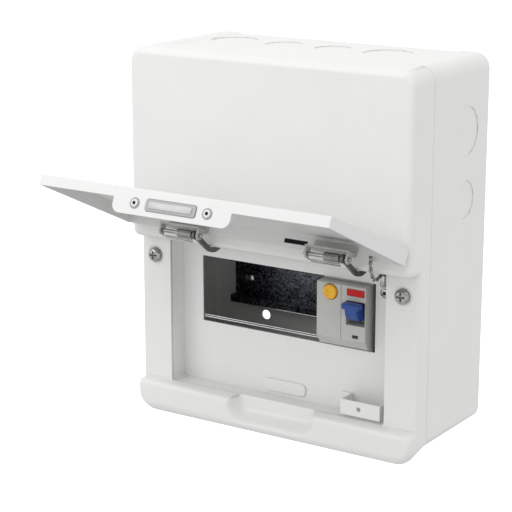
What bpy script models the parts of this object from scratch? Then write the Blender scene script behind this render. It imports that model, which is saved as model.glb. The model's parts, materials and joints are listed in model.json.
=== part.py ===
"""Wall-mounted breaker panel box: a deep steel tray, a pressed front cover and a lift-up door.

Metres, +Z up. The origin is the centre of the wall face. X runs to the right, the front faces -Y.
"Depth" is measured backwards from the front plane of the cover and "drop" downwards from the top.
"""

import math

import bmesh
import bpy
from mathutils import Matrix, Vector

# ---- driving dimensions -------------------------------------------------------------------
BOX_WIDTH = 0.212
BOX_HEIGHT = 0.244
BOX_DEPTH = 0.100
SHEET = 0.0012
CUT_REACH = 0.004
GAP = 0.0003

TOP_CORNER_RADIUS = 0.010
BOTTOM_CORNER_RADIUS = 0.008
BACK_EDGE_RADIUS = 0.0025
SEAM_DEPTH = 0.024

BULGE_HEIGHT = 0.127
BULGE_EDGE_RADIUS = 0.0045
COLUMN_DEPTH = 0.0112
COLUMN_WIDTH = 0.0236
COLUMN_EDGE_RADIUS = 0.0025
COLUMN_OVERLAP = 0.020
PANEL_DEPTH = 0.0265

LIP_DROP = 0.2288
LIP_BOTTOM = 0.251
LIP_DEPTH = 0.0035
LIP_SLOPE = 0.0010
LIP_CORNER_RADIUS = 0.014
LIP_SIDE_RADIUS = 0.004
LIP_TOP_RADIUS = 0.0035
LIP_BOTTOM_RADIUS = 0.008
LIP_TAIL_DROP = 0.0004
SCOOP_WIDTH = 0.069
SCOOP_CENTRE_X = 0.0015
SCOOP_DEPTH = 0.0095
SCOOP_HEIGHT = 0.0175
SCOOP_SIDE_RUN = 0.0070
SCOOP_LOWER_RUN = 0.0110
SCOOP_CORNER_RADIUS = 0.0125
SCOOP_TOP_RISE = 0.010
SCOOP_STEPS = 8
SCOOP_EDGE_MIN = 0.0005

APERTURE_WIDTH = 0.1334
APERTURE_HEIGHT = 0.0455
APERTURE_DROP = 0.1409

KNOCKOUT_DEPTH = 0.0005
KNOCKOUT_LARGE_RADIUS = 0.016
KNOCKOUT_SMALL_RADIUS = 0.0122
KNOCKOUT_ROW_DEPTH = 0.68 * BOX_DEPTH
TOP_RECESS_DEPTH = 0.0011
TOP_RIDGE_WIDTH = 0.0205
TOP_RECESS_RAMP = 0.0028
WALL_HOLE_RADIUS = 0.0035
WALL_HOLE_X = 0.0628
WALL_HOLE_DROP = 0.1998

SCREW_X = BOX_WIDTH / 2 - 0.496 * COLUMN_WIDTH
SCREW_DROP = 0.141
SCREW_SHANK_RADIUS = 0.0020
SCREW_HEAD_RADIUS = 0.0051
SCREW_HEAD_HEIGHT = 0.0034
SCREW_LENGTH = 0.030
SCREW_CLEARANCE = 0.0004

POST_DEPTH = 0.034
POST_SHEET = 0.0015
POST_HEIGHT = 0.022
POST_REACH = 0.0165
POST_FOOT_LENGTH = 0.026

# ---- door and hinge -----------------------------------------------------------------------
DOOR_OPEN_DEG = 115.0
DOOR_SIDE_GAP = 0.0018
DOOR_TOP_GAP = 0.0008
RIVET_HEAD_HEIGHT = 0.0009
RIVET_SWEEP_CLEARANCE = 0.0003
DOOR_LIP_GAP = LIP_SLOPE + RIVET_HEAD_HEIGHT + GAP + RIVET_SWEEP_CLEARANCE
DOOR_COLUMN_GAP = 0.0006
DOOR_SHEET = 0.0012
DOOR_EDGE_RADIUS = 0.0016
DOOR_TAB_CENTRE_X = -0.0032
DOOR_TAB_HALF_WIDTH = 0.0425
DOOR_TAB_LENGTH = 0.0095
DOOR_TAB_RADIUS = 0.0055
PIVOT_DEPTH = 0.006
PIVOT_DROP = BULGE_HEIGHT - 0.0098
ARM_X = (-0.0430, 0.0670)
ARM_THICKNESS = 0.002
ARM_HALF_HEIGHT = 0.0016
ARM_SWEEP_RADIUS = 0.0122
ARM_HUB_RADIUS = 0.0029
ARM_SWEEP_DEG = 74.0
ARM_SLOT_FRONT = 0.0086
ARM_SLOT_BACK = 0.0188
ARM_SLOT_CLEARANCE = 0.0012
HINGE_PIN_RADIUS = 0.0015
PIN_CLEARANCE = 0.0002
ROD_RADIUS = 0.0012
ROD_REACH = 0.0074
ROD_DROP = 0.0200
ROD_PROUD = 0.0015
PLATE_SPANS = ((-0.0700, -0.0395), (0.0405, 0.0710))
PLATE_SHEET = 0.0012
PLATE_LEG = 0.012
SPRING_RADIUS = 0.0024
SPRING_WIRE_RADIUS = 0.00045
SPRING_TURNS = 9
SPRING_LENGTH = 0.020
SPRING_ARM_GAP = 0.0012
EAR_RADIUS = 0.0030

CATCH_WIDTH = 0.036
CATCH_HEIGHT = 0.0072
CATCH_PROUD = 0.0006
CATCH_CORNER_RADIUS = 0.0014
CATCH_BODY_DEPTH = 0.0075
RIVET_X = 0.0262
RIVET_HEAD_RADIUS = 0.0026
RIVET_SHANK_RADIUS = 0.0012
RIVET_LENGTH = 0.005

# ---- fittings on the inner panel ------------------------------------------------------------
KEEPER_WIDTH = 0.033
KEEPER_HEIGHT = 0.0085
KEEPER_THICKNESS = 0.0008
KEEPER_DROP = 0.2185
BRACKET_RIGHT_X = BOX_WIDTH / 2 - COLUMN_WIDTH - 0.0034
BRACKET_LEFT_X = BRACKET_RIGHT_X - 0.0290
BRACKET_REACH = 0.0143
BRACKET_DROP = 0.2160
BRACKET_HEIGHT = 0.0100
BRACKET_SHEET = 0.0012
BRACKET_FOOT = 0.0070
BRACKET_HOLE_RADIUS = 0.0015
BRACKET_HOLE_X = BRACKET_LEFT_X + 0.0135
BRACKET_RIVET_RADIUS = 0.0022
BRACKET_RIVET_HEIGHT = 0.0012

LUG_X = BOX_WIDTH / 2 - COLUMN_WIDTH - 0.0084
LUG_DROP = BULGE_HEIGHT + 0.0185
LUG_RING_RADIUS = 0.0036
LUG_SHEET = 0.0008
LUG_BARREL_RADIUS = 0.0026
LUG_BARREL_LENGTH = 0.0070
STRAP_RADIUS = 0.0012
STRAP_DOOR_X = LUG_X + 0.0086

# ---- rail, breaker and terminal bars ----------------------------------------------------------
MODULE_WIDTH = 0.018
RCD_RIGHT_X = 0.0633
RCD_NOSE_DEPTH = 0.0195
RCD_NOSE_HEIGHT = 0.042
RCD_NOSE_DROP = 0.1428
RCD_SHOULDER_GAP = 0.0012
RCD_BODY_HEIGHT = 0.083
RCD_BODY_DEPTH = BOX_DEPTH - PANEL_DEPTH - 0.0295
RCD_SIDE_GAP = 0.0001
RAIL_WIDTH = 0.035
RAIL_HEIGHT = 0.0075
RAIL_SHEET = 0.001
RAIL_LIP = 0.0045
RAIL_LENGTH = 0.150
RAIL_DROP = 0.1680
RAIL_HOLE_RADIUS = 0.0025
SUPPORT_X = 0.062
SUPPORT_WIDTH = 0.016
SUPPORT_SHEET = 0.0015
SUPPORT_HALF_HEIGHT = 0.011
SUPPORT_HALF_SPREAD = 0.020
SUPPORT_HOLE_RADIUS = 0.0023
TOGGLE_AXIS_DEPTH = 0.0045
TOGGLE_INSET_X = 0.0074
TOGGLE_DROP = 0.1600
TOGGLE_HALF_WIDTH = 0.0064
TOGGLE_WELL_GAP = 0.0005
TOGGLE_WELL_ABOVE = 0.0022
TOGGLE_WELL_BELOW = 0.0034
TOGGLE_HUB_RADIUS = 0.0052
TOGGLE_STEM_HALF_WIDTH = 0.0042
FLAG_HALF_WIDTH = 0.0019
FLAG_DROP = 0.1752
FLAG_HEIGHT = 0.0016
LABEL_DROP = 0.1448
LABEL_HEIGHT = 0.0044
LABEL_MARGIN_LEFT = 0.0044
LABEL_MARGIN_RIGHT = 0.0010
LABEL_PROUD = 0.0001
LABEL_SEAT = 0.0004
TEST_INSET_X = 0.0101
TEST_DROP = 0.1486
TEST_RADIUS = 0.0050
TEST_PROUD = 0.0016
TEST_LENGTH = 0.0052
TEST_TRAVEL = 0.0012
TERMINAL_RADIUS = 0.0034
MOUTH_HALF_WIDTH = 0.0045
MOUTH_FRONT = 0.41
MOUTH_BACK = 0.61
BAR_WAYS = 5
BAR_PITCH = 0.0075
BAR_SECTION = 0.0075
BAR_DROP = 0.022
BAR_CENTRE_X = 0.050
BAR_CARRIER_HEIGHT = 0.016
BAR_SCREW_RADIUS = 0.0024

ARC_STEPS = 6
ROUND_SIDES = 20


def y_at(depth):
    return depth - BOX_DEPTH


def z_at(drop):
    return BOX_HEIGHT / 2 - drop


# ---- scene helpers -------------------------------------------------------------------------
def clear_scene():
    for obj in list(bpy.data.objects):
        bpy.data.objects.remove(obj, do_unlink=True)


def make_material(name, colour, roughness, metallic=0.0):
    mat = bpy.data.materials.new(name)
    mat.use_nodes = True
    shader = mat.node_tree.nodes["Principled BSDF"]
    shader.inputs["Base Color"].default_value = (*colour, 1.0)
    shader.inputs["Roughness"].default_value = roughness
    shader.inputs["Metallic"].default_value = metallic
    mat.diffuse_color = (*colour, 1.0)
    return mat


def new_object(name, bm, mat=None, parent=None):
    bmesh.ops.remove_doubles(bm, verts=bm.verts, dist=1e-7)
    bmesh.ops.recalc_face_normals(bm, faces=bm.faces)
    mesh = bpy.data.meshes.new(name)
    bm.to_mesh(mesh)
    bm.free()
    obj = bpy.data.objects.new(name, mesh)
    bpy.context.scene.collection.objects.link(obj)
    if mat:
        mesh.materials.append(mat)
    if parent:
        obj.parent = parent
    mesh.shade_smooth()
    mesh.set_sharp_from_angle(angle=math.radians(35))
    return obj


def add_empty(name, location, rotation_x=0.0):
    empty = bpy.data.objects.new(name, None)
    bpy.context.scene.collection.objects.link(empty)
    empty.location = location
    empty.rotation_euler = (rotation_x, 0.0, 0.0)
    return empty


def combine(target, tools, operation, solver="EXACT"):
    """Applies one Boolean per tool to the target's own mesh and removes the tools."""
    for tool in tools:
        tool.hide_render = True
        tool.display_type = "WIRE"
        modifier = target.modifiers.new(operation.title(), "BOOLEAN")
        modifier.operation = operation
        modifier.solver = solver
        modifier.object = tool
    bpy.context.view_layer.update()
    graph = bpy.context.evaluated_depsgraph_get()
    made = bpy.data.meshes.new_from_object(target.evaluated_get(graph))
    target.modifiers.clear()
    old = target.data
    materials = list(old.materials)
    target.data = made
    made.name = target.name
    made.materials.clear()
    for mat in materials:
        made.materials.append(mat)
    bpy.data.meshes.remove(old)
    made.shade_smooth()
    made.set_sharp_from_angle(angle=math.radians(35))
    for tool in tools:
        bpy.data.objects.remove(tool, do_unlink=True)
    return target


# ---- shape helpers -------------------------------------------------------------------------
def arc(cx, cy, radius, start_deg, end_deg, steps=ARC_STEPS):
    """Points on a circle, both ends included."""
    points = []
    for i in range(steps + 1):
        angle = math.radians(start_deg + (end_deg - start_deg) * i / steps)
        points.append((cx + radius * math.cos(angle), cy + radius * math.sin(angle)))
    return points


def rounded_outline(x0, x1, z0, z1, top_radius, bottom_radius, steps=ARC_STEPS):
    """Counter-clockwise outline in X and Z, with its own radius for the top and bottom corners."""
    outline = arc(x0 + bottom_radius, z0 + bottom_radius, bottom_radius, 180, 270, steps)
    outline += arc(x1 - bottom_radius, z0 + bottom_radius, bottom_radius, 270, 360, steps)
    outline += arc(x1 - top_radius, z1 - top_radius, top_radius, 0, 90, steps)
    outline += arc(x0 + top_radius, z1 - top_radius, top_radius, 90, 180, steps)
    return outline


def loft_along_y(sections):
    """Closed mesh through (y, outline) sections that all have the same number of points."""
    bm = bmesh.new()
    rings = [[bm.verts.new((x, y, z)) for x, z in outline] for y, outline in sections]
    for first, second in zip(rings, rings[1:]):
        count = len(first)
        for i in range(count):
            j = (i + 1) % count
            bm.faces.new((first[i], first[j], second[j], second[i]))
    bm.faces.new(rings[0])
    bm.faces.new(list(reversed(rings[-1])))
    return bm


def prism(outline, axis, low, high):
    """Extrudes a 2D outline along X (outline in Y, Z), Y (X, Z) or Z (X, Y)."""
    bm = bmesh.new()
    place = {
        "X": lambda a, b, c: (c, a, b),
        "Y": lambda a, b, c: (a, c, b),
        "Z": lambda a, b, c: (a, b, c),
    }[axis]
    first = [bm.verts.new(place(a, b, low)) for a, b in outline]
    second = [bm.verts.new(place(a, b, high)) for a, b in outline]
    count = len(outline)
    for i in range(count):
        j = (i + 1) % count
        bm.faces.new((first[i], first[j], second[j], second[i]))
    bm.faces.new(first)
    bm.faces.new(list(reversed(second)))
    return bm


def block(x0, x1, y0, y1, z0, z1):
    bm = bmesh.new()
    bmesh.ops.create_cube(bm, size=1.0)
    for vert in bm.verts:
        vert.co = Vector((
            x1 if vert.co.x > 0 else x0,
            y1 if vert.co.y > 0 else y0,
            z1 if vert.co.z > 0 else z0,
        ))
    return bm


def bevelled_block(x0, x1, y0, y1, z0, z1, width, segments=2):
    bm = block(x0, x1, y0, y1, z0, z1)
    bmesh.ops.bevel(bm, geom=bm.edges[:], offset=width, segments=segments, profile=0.5, affect="EDGES")
    return bm


def round_bar(radius, start, end, sides=ROUND_SIDES):
    """Straight cylinder between two points."""
    start = Vector(start)
    end = Vector(end)
    along = end - start
    bm = bmesh.new()
    bmesh.ops.create_cone(bm, cap_ends=True, segments=sides, radius1=radius, radius2=radius,
                          depth=along.length)
    turn = along.to_track_quat("Z", "Y").to_matrix().to_4x4()
    bmesh.ops.transform(bm, matrix=Matrix.Translation((start + end) / 2) @ turn, verts=bm.verts)
    return bm


def turned(profile, origin, axis, sides=ROUND_SIDES):
    """Solid of revolution: profile is (distance along the axis, radius) from end to end."""
    direction = Vector(axis).normalized()
    turn = direction.to_track_quat("Z", "Y").to_matrix()
    bm = bmesh.new()
    rings = []
    for along, radius in profile:
        if radius == 0:
            rings.append([bm.verts.new(Vector(origin) + turn @ Vector((0, 0, along)))])
            continue
        ring = []
        for i in range(sides):
            angle = 2 * math.pi * i / sides
            local = Vector((radius * math.cos(angle), radius * math.sin(angle), along))
            ring.append(bm.verts.new(Vector(origin) + turn @ local))
        rings.append(ring)
    for first, second in zip(rings, rings[1:]):
        for i in range(sides):
            j = (i + 1) % sides
            corners = [first[i % len(first)], first[j % len(first)],
                       second[j % len(second)], second[i % len(second)]]
            unique = list(dict.fromkeys(corners))
            bm.faces.new(unique)
    for ring in (rings[0], rings[-1]):
        if len(ring) > 1:
            bm.faces.new(ring)
    return bm


def tube_along(points, radius, sides):
    """Closed tube with mitred rings through points, its section turning with the path."""
    bm = bmesh.new()
    rings = []
    points = [Vector(p) for p in points]
    side = None
    for i, point in enumerate(points):
        ahead = points[min(i + 1, len(points) - 1)]
        behind = points[max(i - 1, 0)]
        tangent = (ahead - behind).normalized()
        if side is None:
            side = tangent.orthogonal().normalized()
        side = (side - tangent * side.dot(tangent)).normalized()
        other = tangent.cross(side)
        ring = []
        for k in range(sides):
            angle = 2 * math.pi * k / sides
            ring.append(bm.verts.new(point + radius * (math.cos(angle) * side + math.sin(angle) * other)))
        rings.append(ring)
    for first, second in zip(rings, rings[1:]):
        for i in range(sides):
            j = (i + 1) % sides
            bm.faces.new((first[i], first[j], second[j], second[i]))
    bm.faces.new(rings[0])
    bm.faces.new(list(reversed(rings[-1])))
    return bm


def band(path, half_height):
    """Closed outline of a flat bar whose middle line is the path."""
    left = []
    right = []
    for i, (a, b) in enumerate(path):
        a0, b0 = path[max(i - 1, 0)]
        a1, b1 = path[min(i + 1, len(path) - 1)]
        length = math.hypot(a1 - a0, b1 - b0)
        na = -(b1 - b0) / length * half_height
        nb = (a1 - a0) / length * half_height
        left.append((a + na, b + nb))
        right.append((a - na, b - nb))
    return left + right[::-1]


def smooth_route(points, count):
    """Evenly spread points on a Catmull-Rom curve through the given ones."""
    knots = [Vector(p) for p in points]
    knots = [2 * knots[0] - knots[1], *knots, 2 * knots[-1] - knots[-2]]
    dense = []
    pieces = len(knots) - 3
    for i in range(pieces):
        p0, p1, p2, p3 = knots[i:i + 4]
        for k in range(10):
            t = k / 10
            dense.append(0.5 * ((2 * p1) + (p2 - p0) * t + (2 * p0 - 5 * p1 + 4 * p2 - p3) * t * t
                                + (3 * p1 - p0 - 3 * p2 + p3) * t ** 3))
    dense.append(knots[-2])
    lengths = [0.0]
    for a, b in zip(dense, dense[1:]):
        lengths.append(lengths[-1] + (b - a).length)
    spread = []
    for i in range(count):
        wanted = lengths[-1] * i / (count - 1)
        j = max(k for k in range(len(lengths)) if lengths[k] <= wanted + 1e-12)
        j = min(j, len(dense) - 2)
        share = (wanted - lengths[j]) / (lengths[j + 1] - lengths[j])
        spread.append(dense[j].lerp(dense[j + 1], share))
    return spread


def edge_inset(radius, along):
    """How far a rounded rim of this radius stands back, this far behind its front plane."""
    if along >= radius:
        return 0.0
    return radius - math.sqrt(radius ** 2 - (radius - along) ** 2)


def rim_steps(radius, steps=4):
    """Distances behind the front plane at which a rounded rim has its sections."""
    return [radius * (1 - math.cos(math.pi / 2 * i / steps)) for i in range(steps + 1)]


# ---- front cover ---------------------------------------------------------------------------
def plate_mass(front, back, top, bottom, inset, top_radius, bottom_radius, rim_radius):
    """Rounded block from depth front to depth back, with a rounded front rim, inset all round."""
    rim = max(rim_radius - inset, 0.0004)
    sections = []
    for along in [*rim_steps(rim), back - front - inset]:
        d = inset + edge_inset(rim, along)
        outline = rounded_outline(
            -BOX_WIDTH / 2 + d, BOX_WIDTH / 2 - d, z_at(bottom) + d, z_at(top) - d,
            max(top_radius - d, 0.0004), max(bottom_radius - d, 0.0004),
        )
        sections.append((y_at(front + inset + along), outline))
    return loft_along_y(sections)


def lip_mass(back, inset):
    """The pressed bottom lip: rounded below and at its ends, its top sloping up towards the panel."""
    sections = []
    stations = [*rim_steps(LIP_BOTTOM_RADIUS - inset, 5), SEAM_DEPTH - LIP_DEPTH - inset]
    if back > SEAM_DEPTH:
        stations.append(back - LIP_DEPTH - inset)
    for along in stations:
        depth = LIP_DEPTH + inset + along
        side = inset + edge_inset(LIP_SIDE_RADIUS - inset, along)
        top = inset + edge_inset(LIP_TOP_RADIUS, along)
        low = inset + edge_inset(LIP_BOTTOM_RADIUS - inset, along)
        rise = min((depth - LIP_DEPTH) / (COLUMN_DEPTH - LIP_DEPTH), 1.0) * LIP_SLOPE
        full = LIP_DEPTH + LIP_BOTTOM_RADIUS
        tail = max(0.0, min((depth - full) / (SEAM_DEPTH - full), 1.0))
        bottom = LIP_BOTTOM - tail * (LIP_BOTTOM - BOX_HEIGHT - LIP_TAIL_DROP)
        corner = max(LIP_CORNER_RADIUS - low - tail * (LIP_CORNER_RADIUS - BOTTOM_CORNER_RADIUS), 0.001)
        outline = rounded_outline(
            -BOX_WIDTH / 2 + side, BOX_WIDTH / 2 - side, z_at(bottom) + low, z_at(LIP_DROP - rise) - top,
            LIP_TOP_RADIUS, corner,
        )
        sections.append((y_at(depth), outline))
    return loft_along_y(sections)


def scoop_mass(grown):
    """Finger scoop in the lip: a soft-edged dish that is open at the top, onto the ledge."""
    half = SCOOP_WIDTH / 2 + grown
    top = z_at(LIP_DROP - SCOOP_TOP_RISE)
    low = z_at(LIP_DROP + SCOOP_HEIGHT) - grown
    sections = []
    for step in range(SCOOP_STEPS + 1):
        share = step / SCOOP_STEPS
        inset = SCOOP_SIDE_RUN * share
        depth = LIP_DEPTH + grown + SCOOP_DEPTH * (1 - math.cos(math.pi * share)) / 2
        outline = rounded_outline(
            SCOOP_CENTRE_X - half + inset, SCOOP_CENTRE_X + half - inset,
            low + SCOOP_LOWER_RUN * share, top, SCOOP_EDGE_MIN, SCOOP_CORNER_RADIUS - inset,
        )
        sections.append((y_at(depth), outline))
    sections.insert(0, (y_at(LIP_DEPTH - CUT_REACH), sections[0][1]))
    return loft_along_y(sections)


def pocket_mass(grown):
    """The space between the columns, or, grown by the sheet, the back of the pressed tub."""
    half = BOX_WIDTH / 2 - COLUMN_WIDTH + grown
    front = -0.005 if grown == 0 else COLUMN_DEPTH + 0.002
    floor = LIP_DROP - LIP_SLOPE + 0.0002
    outline = rounded_outline(-half, half, z_at(floor) - grown, z_at(BULGE_HEIGHT) + grown,
                              0.001 + grown, 0.002 + grown, 3)
    return loft_along_y([(y_at(front), outline), (y_at(PANEL_DEPTH + grown), outline)])


def arm_slot(x):
    half = ARM_THICKNESS / 2 + ARM_SLOT_CLEARANCE
    low = z_at(BULGE_HEIGHT) - SHEET
    return block(x - half, x + half, y_at(ARM_SLOT_FRONT), y_at(ARM_SLOT_BACK), low, low + 3 * SHEET)


def build_front_cover(mat):
    past_tub = PANEL_DEPTH + 3 * SHEET
    bulge = (0.0, SEAM_DEPTH, 0.0, BULGE_HEIGHT)
    columns = (COLUMN_DEPTH, SEAM_DEPTH, BULGE_HEIGHT - COLUMN_OVERLAP, BOX_HEIGHT)
    bulge_edges = (TOP_CORNER_RADIUS, BULGE_EDGE_RADIUS, BULGE_EDGE_RADIUS)
    column_edges = (BOTTOM_CORNER_RADIUS, BOTTOM_CORNER_RADIUS, COLUMN_EDGE_RADIUS)
    cover = new_object("front_cover", plate_mass(*bulge, 0.0, *bulge_edges), mat)
    combine(cover, [
        new_object("columns", plate_mass(*columns, 0.0, *column_edges)),
        new_object("tub", pocket_mass(SHEET)),
    ], "UNION")
    combine(cover, [new_object("pocket", pocket_mass(0.0))], "DIFFERENCE")
    combine(cover, [new_object("lip", lip_mass(SEAM_DEPTH, 0.0))], "UNION")
    hollow = new_object("hollow", plate_mass(0.0, past_tub, 0.0, BULGE_HEIGHT, SHEET, *bulge_edges))
    combine(hollow, [
        new_object("column_hollow",
                   plate_mass(COLUMN_DEPTH, past_tub, BULGE_HEIGHT - COLUMN_OVERLAP, BOX_HEIGHT, SHEET,
                              *column_edges)),
        new_object("lip_hollow", lip_mass(past_tub, SHEET)),
    ], "UNION")
    combine(hollow, [
        new_object("tub_keep", pocket_mass(SHEET)),
        new_object("scoop_keep", scoop_mass(SHEET)),
    ], "DIFFERENCE", "MANIFOLD")
    cutters = [hollow, new_object("scoop", scoop_mass(0.0))]
    aperture_middle = APERTURE_DROP + APERTURE_HEIGHT / 2
    cutters.append(new_object("aperture", prism(
        rounded_outline(-APERTURE_WIDTH / 2, APERTURE_WIDTH / 2,
                        z_at(aperture_middle) - APERTURE_HEIGHT / 2,
                        z_at(aperture_middle) + APERTURE_HEIGHT / 2, 0.0006, 0.0006, 2),
        "Y", y_at(PANEL_DEPTH - 0.004), y_at(past_tub))))
    for x in ARM_X:
        cutters.append(new_object("arm_slot", arm_slot(x)))
    for side in (-1, 1):
        cutters.append(new_object("screw_hole", round_bar(
            SCREW_SHANK_RADIUS + SCREW_CLEARANCE,
            (side * SCREW_X, y_at(COLUMN_DEPTH - 0.003), z_at(SCREW_DROP)),
            (side * SCREW_X, y_at(COLUMN_DEPTH + 0.006), z_at(SCREW_DROP)))))
    combine(cover, cutters, "DIFFERENCE", "MANIFOLD")
    return cover


# ---- base tray -----------------------------------------------------------------------------
def tray_mass(inset, front):
    """The tray's outer shape, or its hollow when inset: rounded outline with a rounded back rim."""
    sections = []
    rim = BACK_EDGE_RADIUS
    back = BOX_DEPTH - inset
    for along in [*rim_steps(rim, 3), back - front]:
        d = inset + edge_inset(rim, along)
        outline = rounded_outline(-BOX_WIDTH / 2 + d, BOX_WIDTH / 2 - d,
                                  -BOX_HEIGHT / 2 + d, BOX_HEIGHT / 2 - d,
                                  TOP_CORNER_RADIUS - d, BOTTOM_CORNER_RADIUS - d)
        sections.append((y_at(back - along), outline))
    return loft_along_y(sections)


def top_recess(grown):
    """Shallow pan pressed into the tray's top between the two end ridges."""
    half = BOX_WIDTH / 2 - TOP_RIDGE_WIDTH
    floor = BOX_HEIGHT / 2 - TOP_RECESS_DEPTH - grown
    over = BOX_HEIGHT / 2 + 0.004
    slope = TOP_RECESS_RAMP / TOP_RECESS_DEPTH
    top_half = half + (over - floor - grown) * slope
    outline = [(-half + TOP_RECESS_RAMP - grown, floor), (half - TOP_RECESS_RAMP + grown, floor),
               (top_half + grown, over), (-top_half - grown, over)]
    return prism(outline, "Y", y_at(SEAM_DEPTH - 0.003), y_at(BOX_DEPTH + 0.003))


def knockout_sites():
    """(centre, outward direction, radius) of each knockout in the tray's walls."""
    right = BOX_WIDTH / 2
    top = BOX_HEIGHT / 2 - TOP_RECESS_DEPTH
    large = KNOCKOUT_LARGE_RADIUS
    small = KNOCKOUT_SMALL_RADIUS
    row = y_at(KNOCKOUT_ROW_DEPTH)
    for side in (-1, 1):
        yield (side * right, row, z_at(0.0457)), (side, 0, 0), large
        yield (side * right, row, z_at(0.0895)), (side, 0, 0), small
    for x, radius in ((-0.068, large), (-0.029, small), (0.0085, small), (0.049, large)):
        yield (x, row, top), (0, 0, 1), radius
    for x, radius in ((-0.058, large), (0.0, small), (0.058, large)):
        yield (x, row, -BOX_HEIGHT / 2), (0, 0, -1), radius
    for x in (-0.048, 0.048):
        yield (x, 0.0, z_at(0.095)), (0, 1, 0), large


def build_base_box(mat):
    front = SEAM_DEPTH + GAP
    base = new_object("base_box", tray_mass(0.0, front), mat)
    hollow = new_object("hollow", tray_mass(SHEET, front - 0.003))
    combine(hollow, [new_object("recess_keep", top_recess(SHEET))], "DIFFERENCE")
    cutters = [hollow, new_object("recess", top_recess(0.0))]
    for centre, outward, radius in knockout_sites():
        centre = Vector(centre)
        outward = Vector(outward)
        cutters.append(new_object("knockout", round_bar(
            radius, centre - outward * KNOCKOUT_DEPTH, centre + outward * 0.003, 24)))
    for x in (-WALL_HOLE_X, WALL_HOLE_X):
        for drop in (WALL_HOLE_DROP, BOX_HEIGHT - WALL_HOLE_DROP):
            cutters.append(new_object("wall_hole", round_bar(
                WALL_HOLE_RADIUS, (x, -0.005, z_at(drop)), (x, 0.005, z_at(drop)), 16)))
    combine(base, cutters, "DIFFERENCE")
    return base


# ---- cover screws and their posts -------------------------------------------------------------
def build_cover_screw(name, x, mat):
    """Pan-head screw with a cross recess; its shank runs back through the column to the post."""
    seat = COLUMN_DEPTH - GAP
    r = SCREW_HEAD_RADIUS
    h = SCREW_HEAD_HEIGHT
    dome = [(-seat_y, radius) for seat_y, radius in (
        (h, r * 0.30), (h * 0.93, r * 0.58), (h * 0.72, r * 0.83), (h * 0.40, r * 0.98), (0.0, r))]
    profile = dome + [(0.0, SCREW_SHANK_RADIUS), (SCREW_LENGTH - 0.002, SCREW_SHANK_RADIUS),
                      (SCREW_LENGTH, SCREW_SHANK_RADIUS * 0.45)]
    origin = (x, y_at(seat), z_at(SCREW_DROP))
    screw = new_object(name, turned(profile, origin, (0, 1, 0), 24), mat)
    arm = r * 0.55
    slot = 0.0006
    top = y_at(seat - h - 0.001)
    deep = y_at(seat - h * 0.35)
    z = z_at(SCREW_DROP)
    cutters = [
        new_object("cross", block(x - arm, x + arm, top, deep, z - slot, z + slot)),
        new_object("cross", block(x - slot, x + slot, top, deep, z - arm, z + arm)),
    ]
    combine(cutters[0], [cutters[1]], "UNION")
    combine(screw, [cutters[0]], "DIFFERENCE")
    return screw


def build_cover_post(name, side, mat):
    """L bracket spot-welded inside the tray wall that the cover screw threads into."""
    wall = BOX_WIDTH / 2 - SHEET - GAP
    z = z_at(SCREW_DROP)
    inner = wall - POST_REACH
    front = y_at(POST_DEPTH)
    leg = wall - POST_SHEET
    outline = [(wall, front), (wall, front + POST_FOOT_LENGTH), (leg, front + POST_FOOT_LENGTH),
               (leg, front + POST_SHEET), (inner, front + POST_SHEET), (inner, front)]
    outline = [(side * x, y) for x, y in outline]
    post = new_object(name, prism(outline, "Z", z - POST_HEIGHT / 2, z + POST_HEIGHT / 2), mat)
    hole = round_bar(SCREW_SHANK_RADIUS + GAP, (side * SCREW_X, front - 0.002, z),
                     (side * SCREW_X, front + POST_SHEET + 0.002, z), 16)
    combine(post, [new_object("hole", hole)], "DIFFERENCE")
    return post


# ---- hinge ---------------------------------------------------------------------------------
def turn_point(depth, drop, degrees):
    """Where a point of the door at rest goes when the door turns by this angle, opening positive."""
    angle = math.radians(degrees)
    ahead = PIVOT_DEPTH - depth
    up = PIVOT_DROP - drop
    return (PIVOT_DEPTH - (ahead * math.cos(angle) - up * math.sin(angle)),
            PIVOT_DROP - (ahead * math.sin(angle) + up * math.cos(angle)))


def local(depth, drop):
    """A closed-door (depth, drop) as (y, z) from the pivot, the door's own frame."""
    return depth - PIVOT_DEPTH, PIVOT_DROP - drop


def rod_point():
    """(y, z) of the spring rod in the door's own frame."""
    return ROD_REACH, -ROD_DROP


def arm_path():
    """Middle line of a hinge arm in the door's own frame, from the rod to the pivot.

    It runs round the pivot on a circle that clears the cover's lower edge at every angle.
    """
    y, z = rod_point()
    distance = math.hypot(y, z)
    rod_deg = math.degrees(math.atan2(z, y))
    reach = math.degrees(math.acos(ARM_SWEEP_RADIUS / distance))
    start = rod_deg + reach
    end = start + ARM_SWEEP_DEG
    path = [(y, z)]
    path += arc(0.0, 0.0, ARM_SWEEP_RADIUS, start, end, 7)
    path.append((0.0, 0.0))
    return path


def build_hinge_arm(name, x, parent, mat):
    """Gooseneck arm: a hub on the hinge pin, an arc under the cover's edge and an eye on the rod."""
    half = ARM_THICKNESS / 2
    arm = new_object(name, prism(band(arm_path(), ARM_HALF_HEIGHT), "X", x - half, x + half), mat, parent)
    y, z = rod_point()
    hub = new_object("hub", round_bar(ARM_HUB_RADIUS, (x - half, 0, 0), (x + half, 0, 0)), None, parent)
    eye = new_object("eye", round_bar(ARM_HUB_RADIUS, (x - half, y, z), (x + half, y, z)), None, parent)
    combine(arm, [hub, eye], "UNION")
    bore = round_bar(HINGE_PIN_RADIUS + PIN_CLEARANCE, (x - 0.004, 0, 0), (x + 0.004, 0, 0), 16)
    eye_bore = round_bar(ROD_RADIUS + PIN_CLEARANCE, (x - 0.004, y, z), (x + 0.004, y, z), 16)
    combine(arm, [new_object("bore", bore, None, parent), new_object("bore", eye_bore, None, parent)],
            "DIFFERENCE")
    return arm


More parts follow.
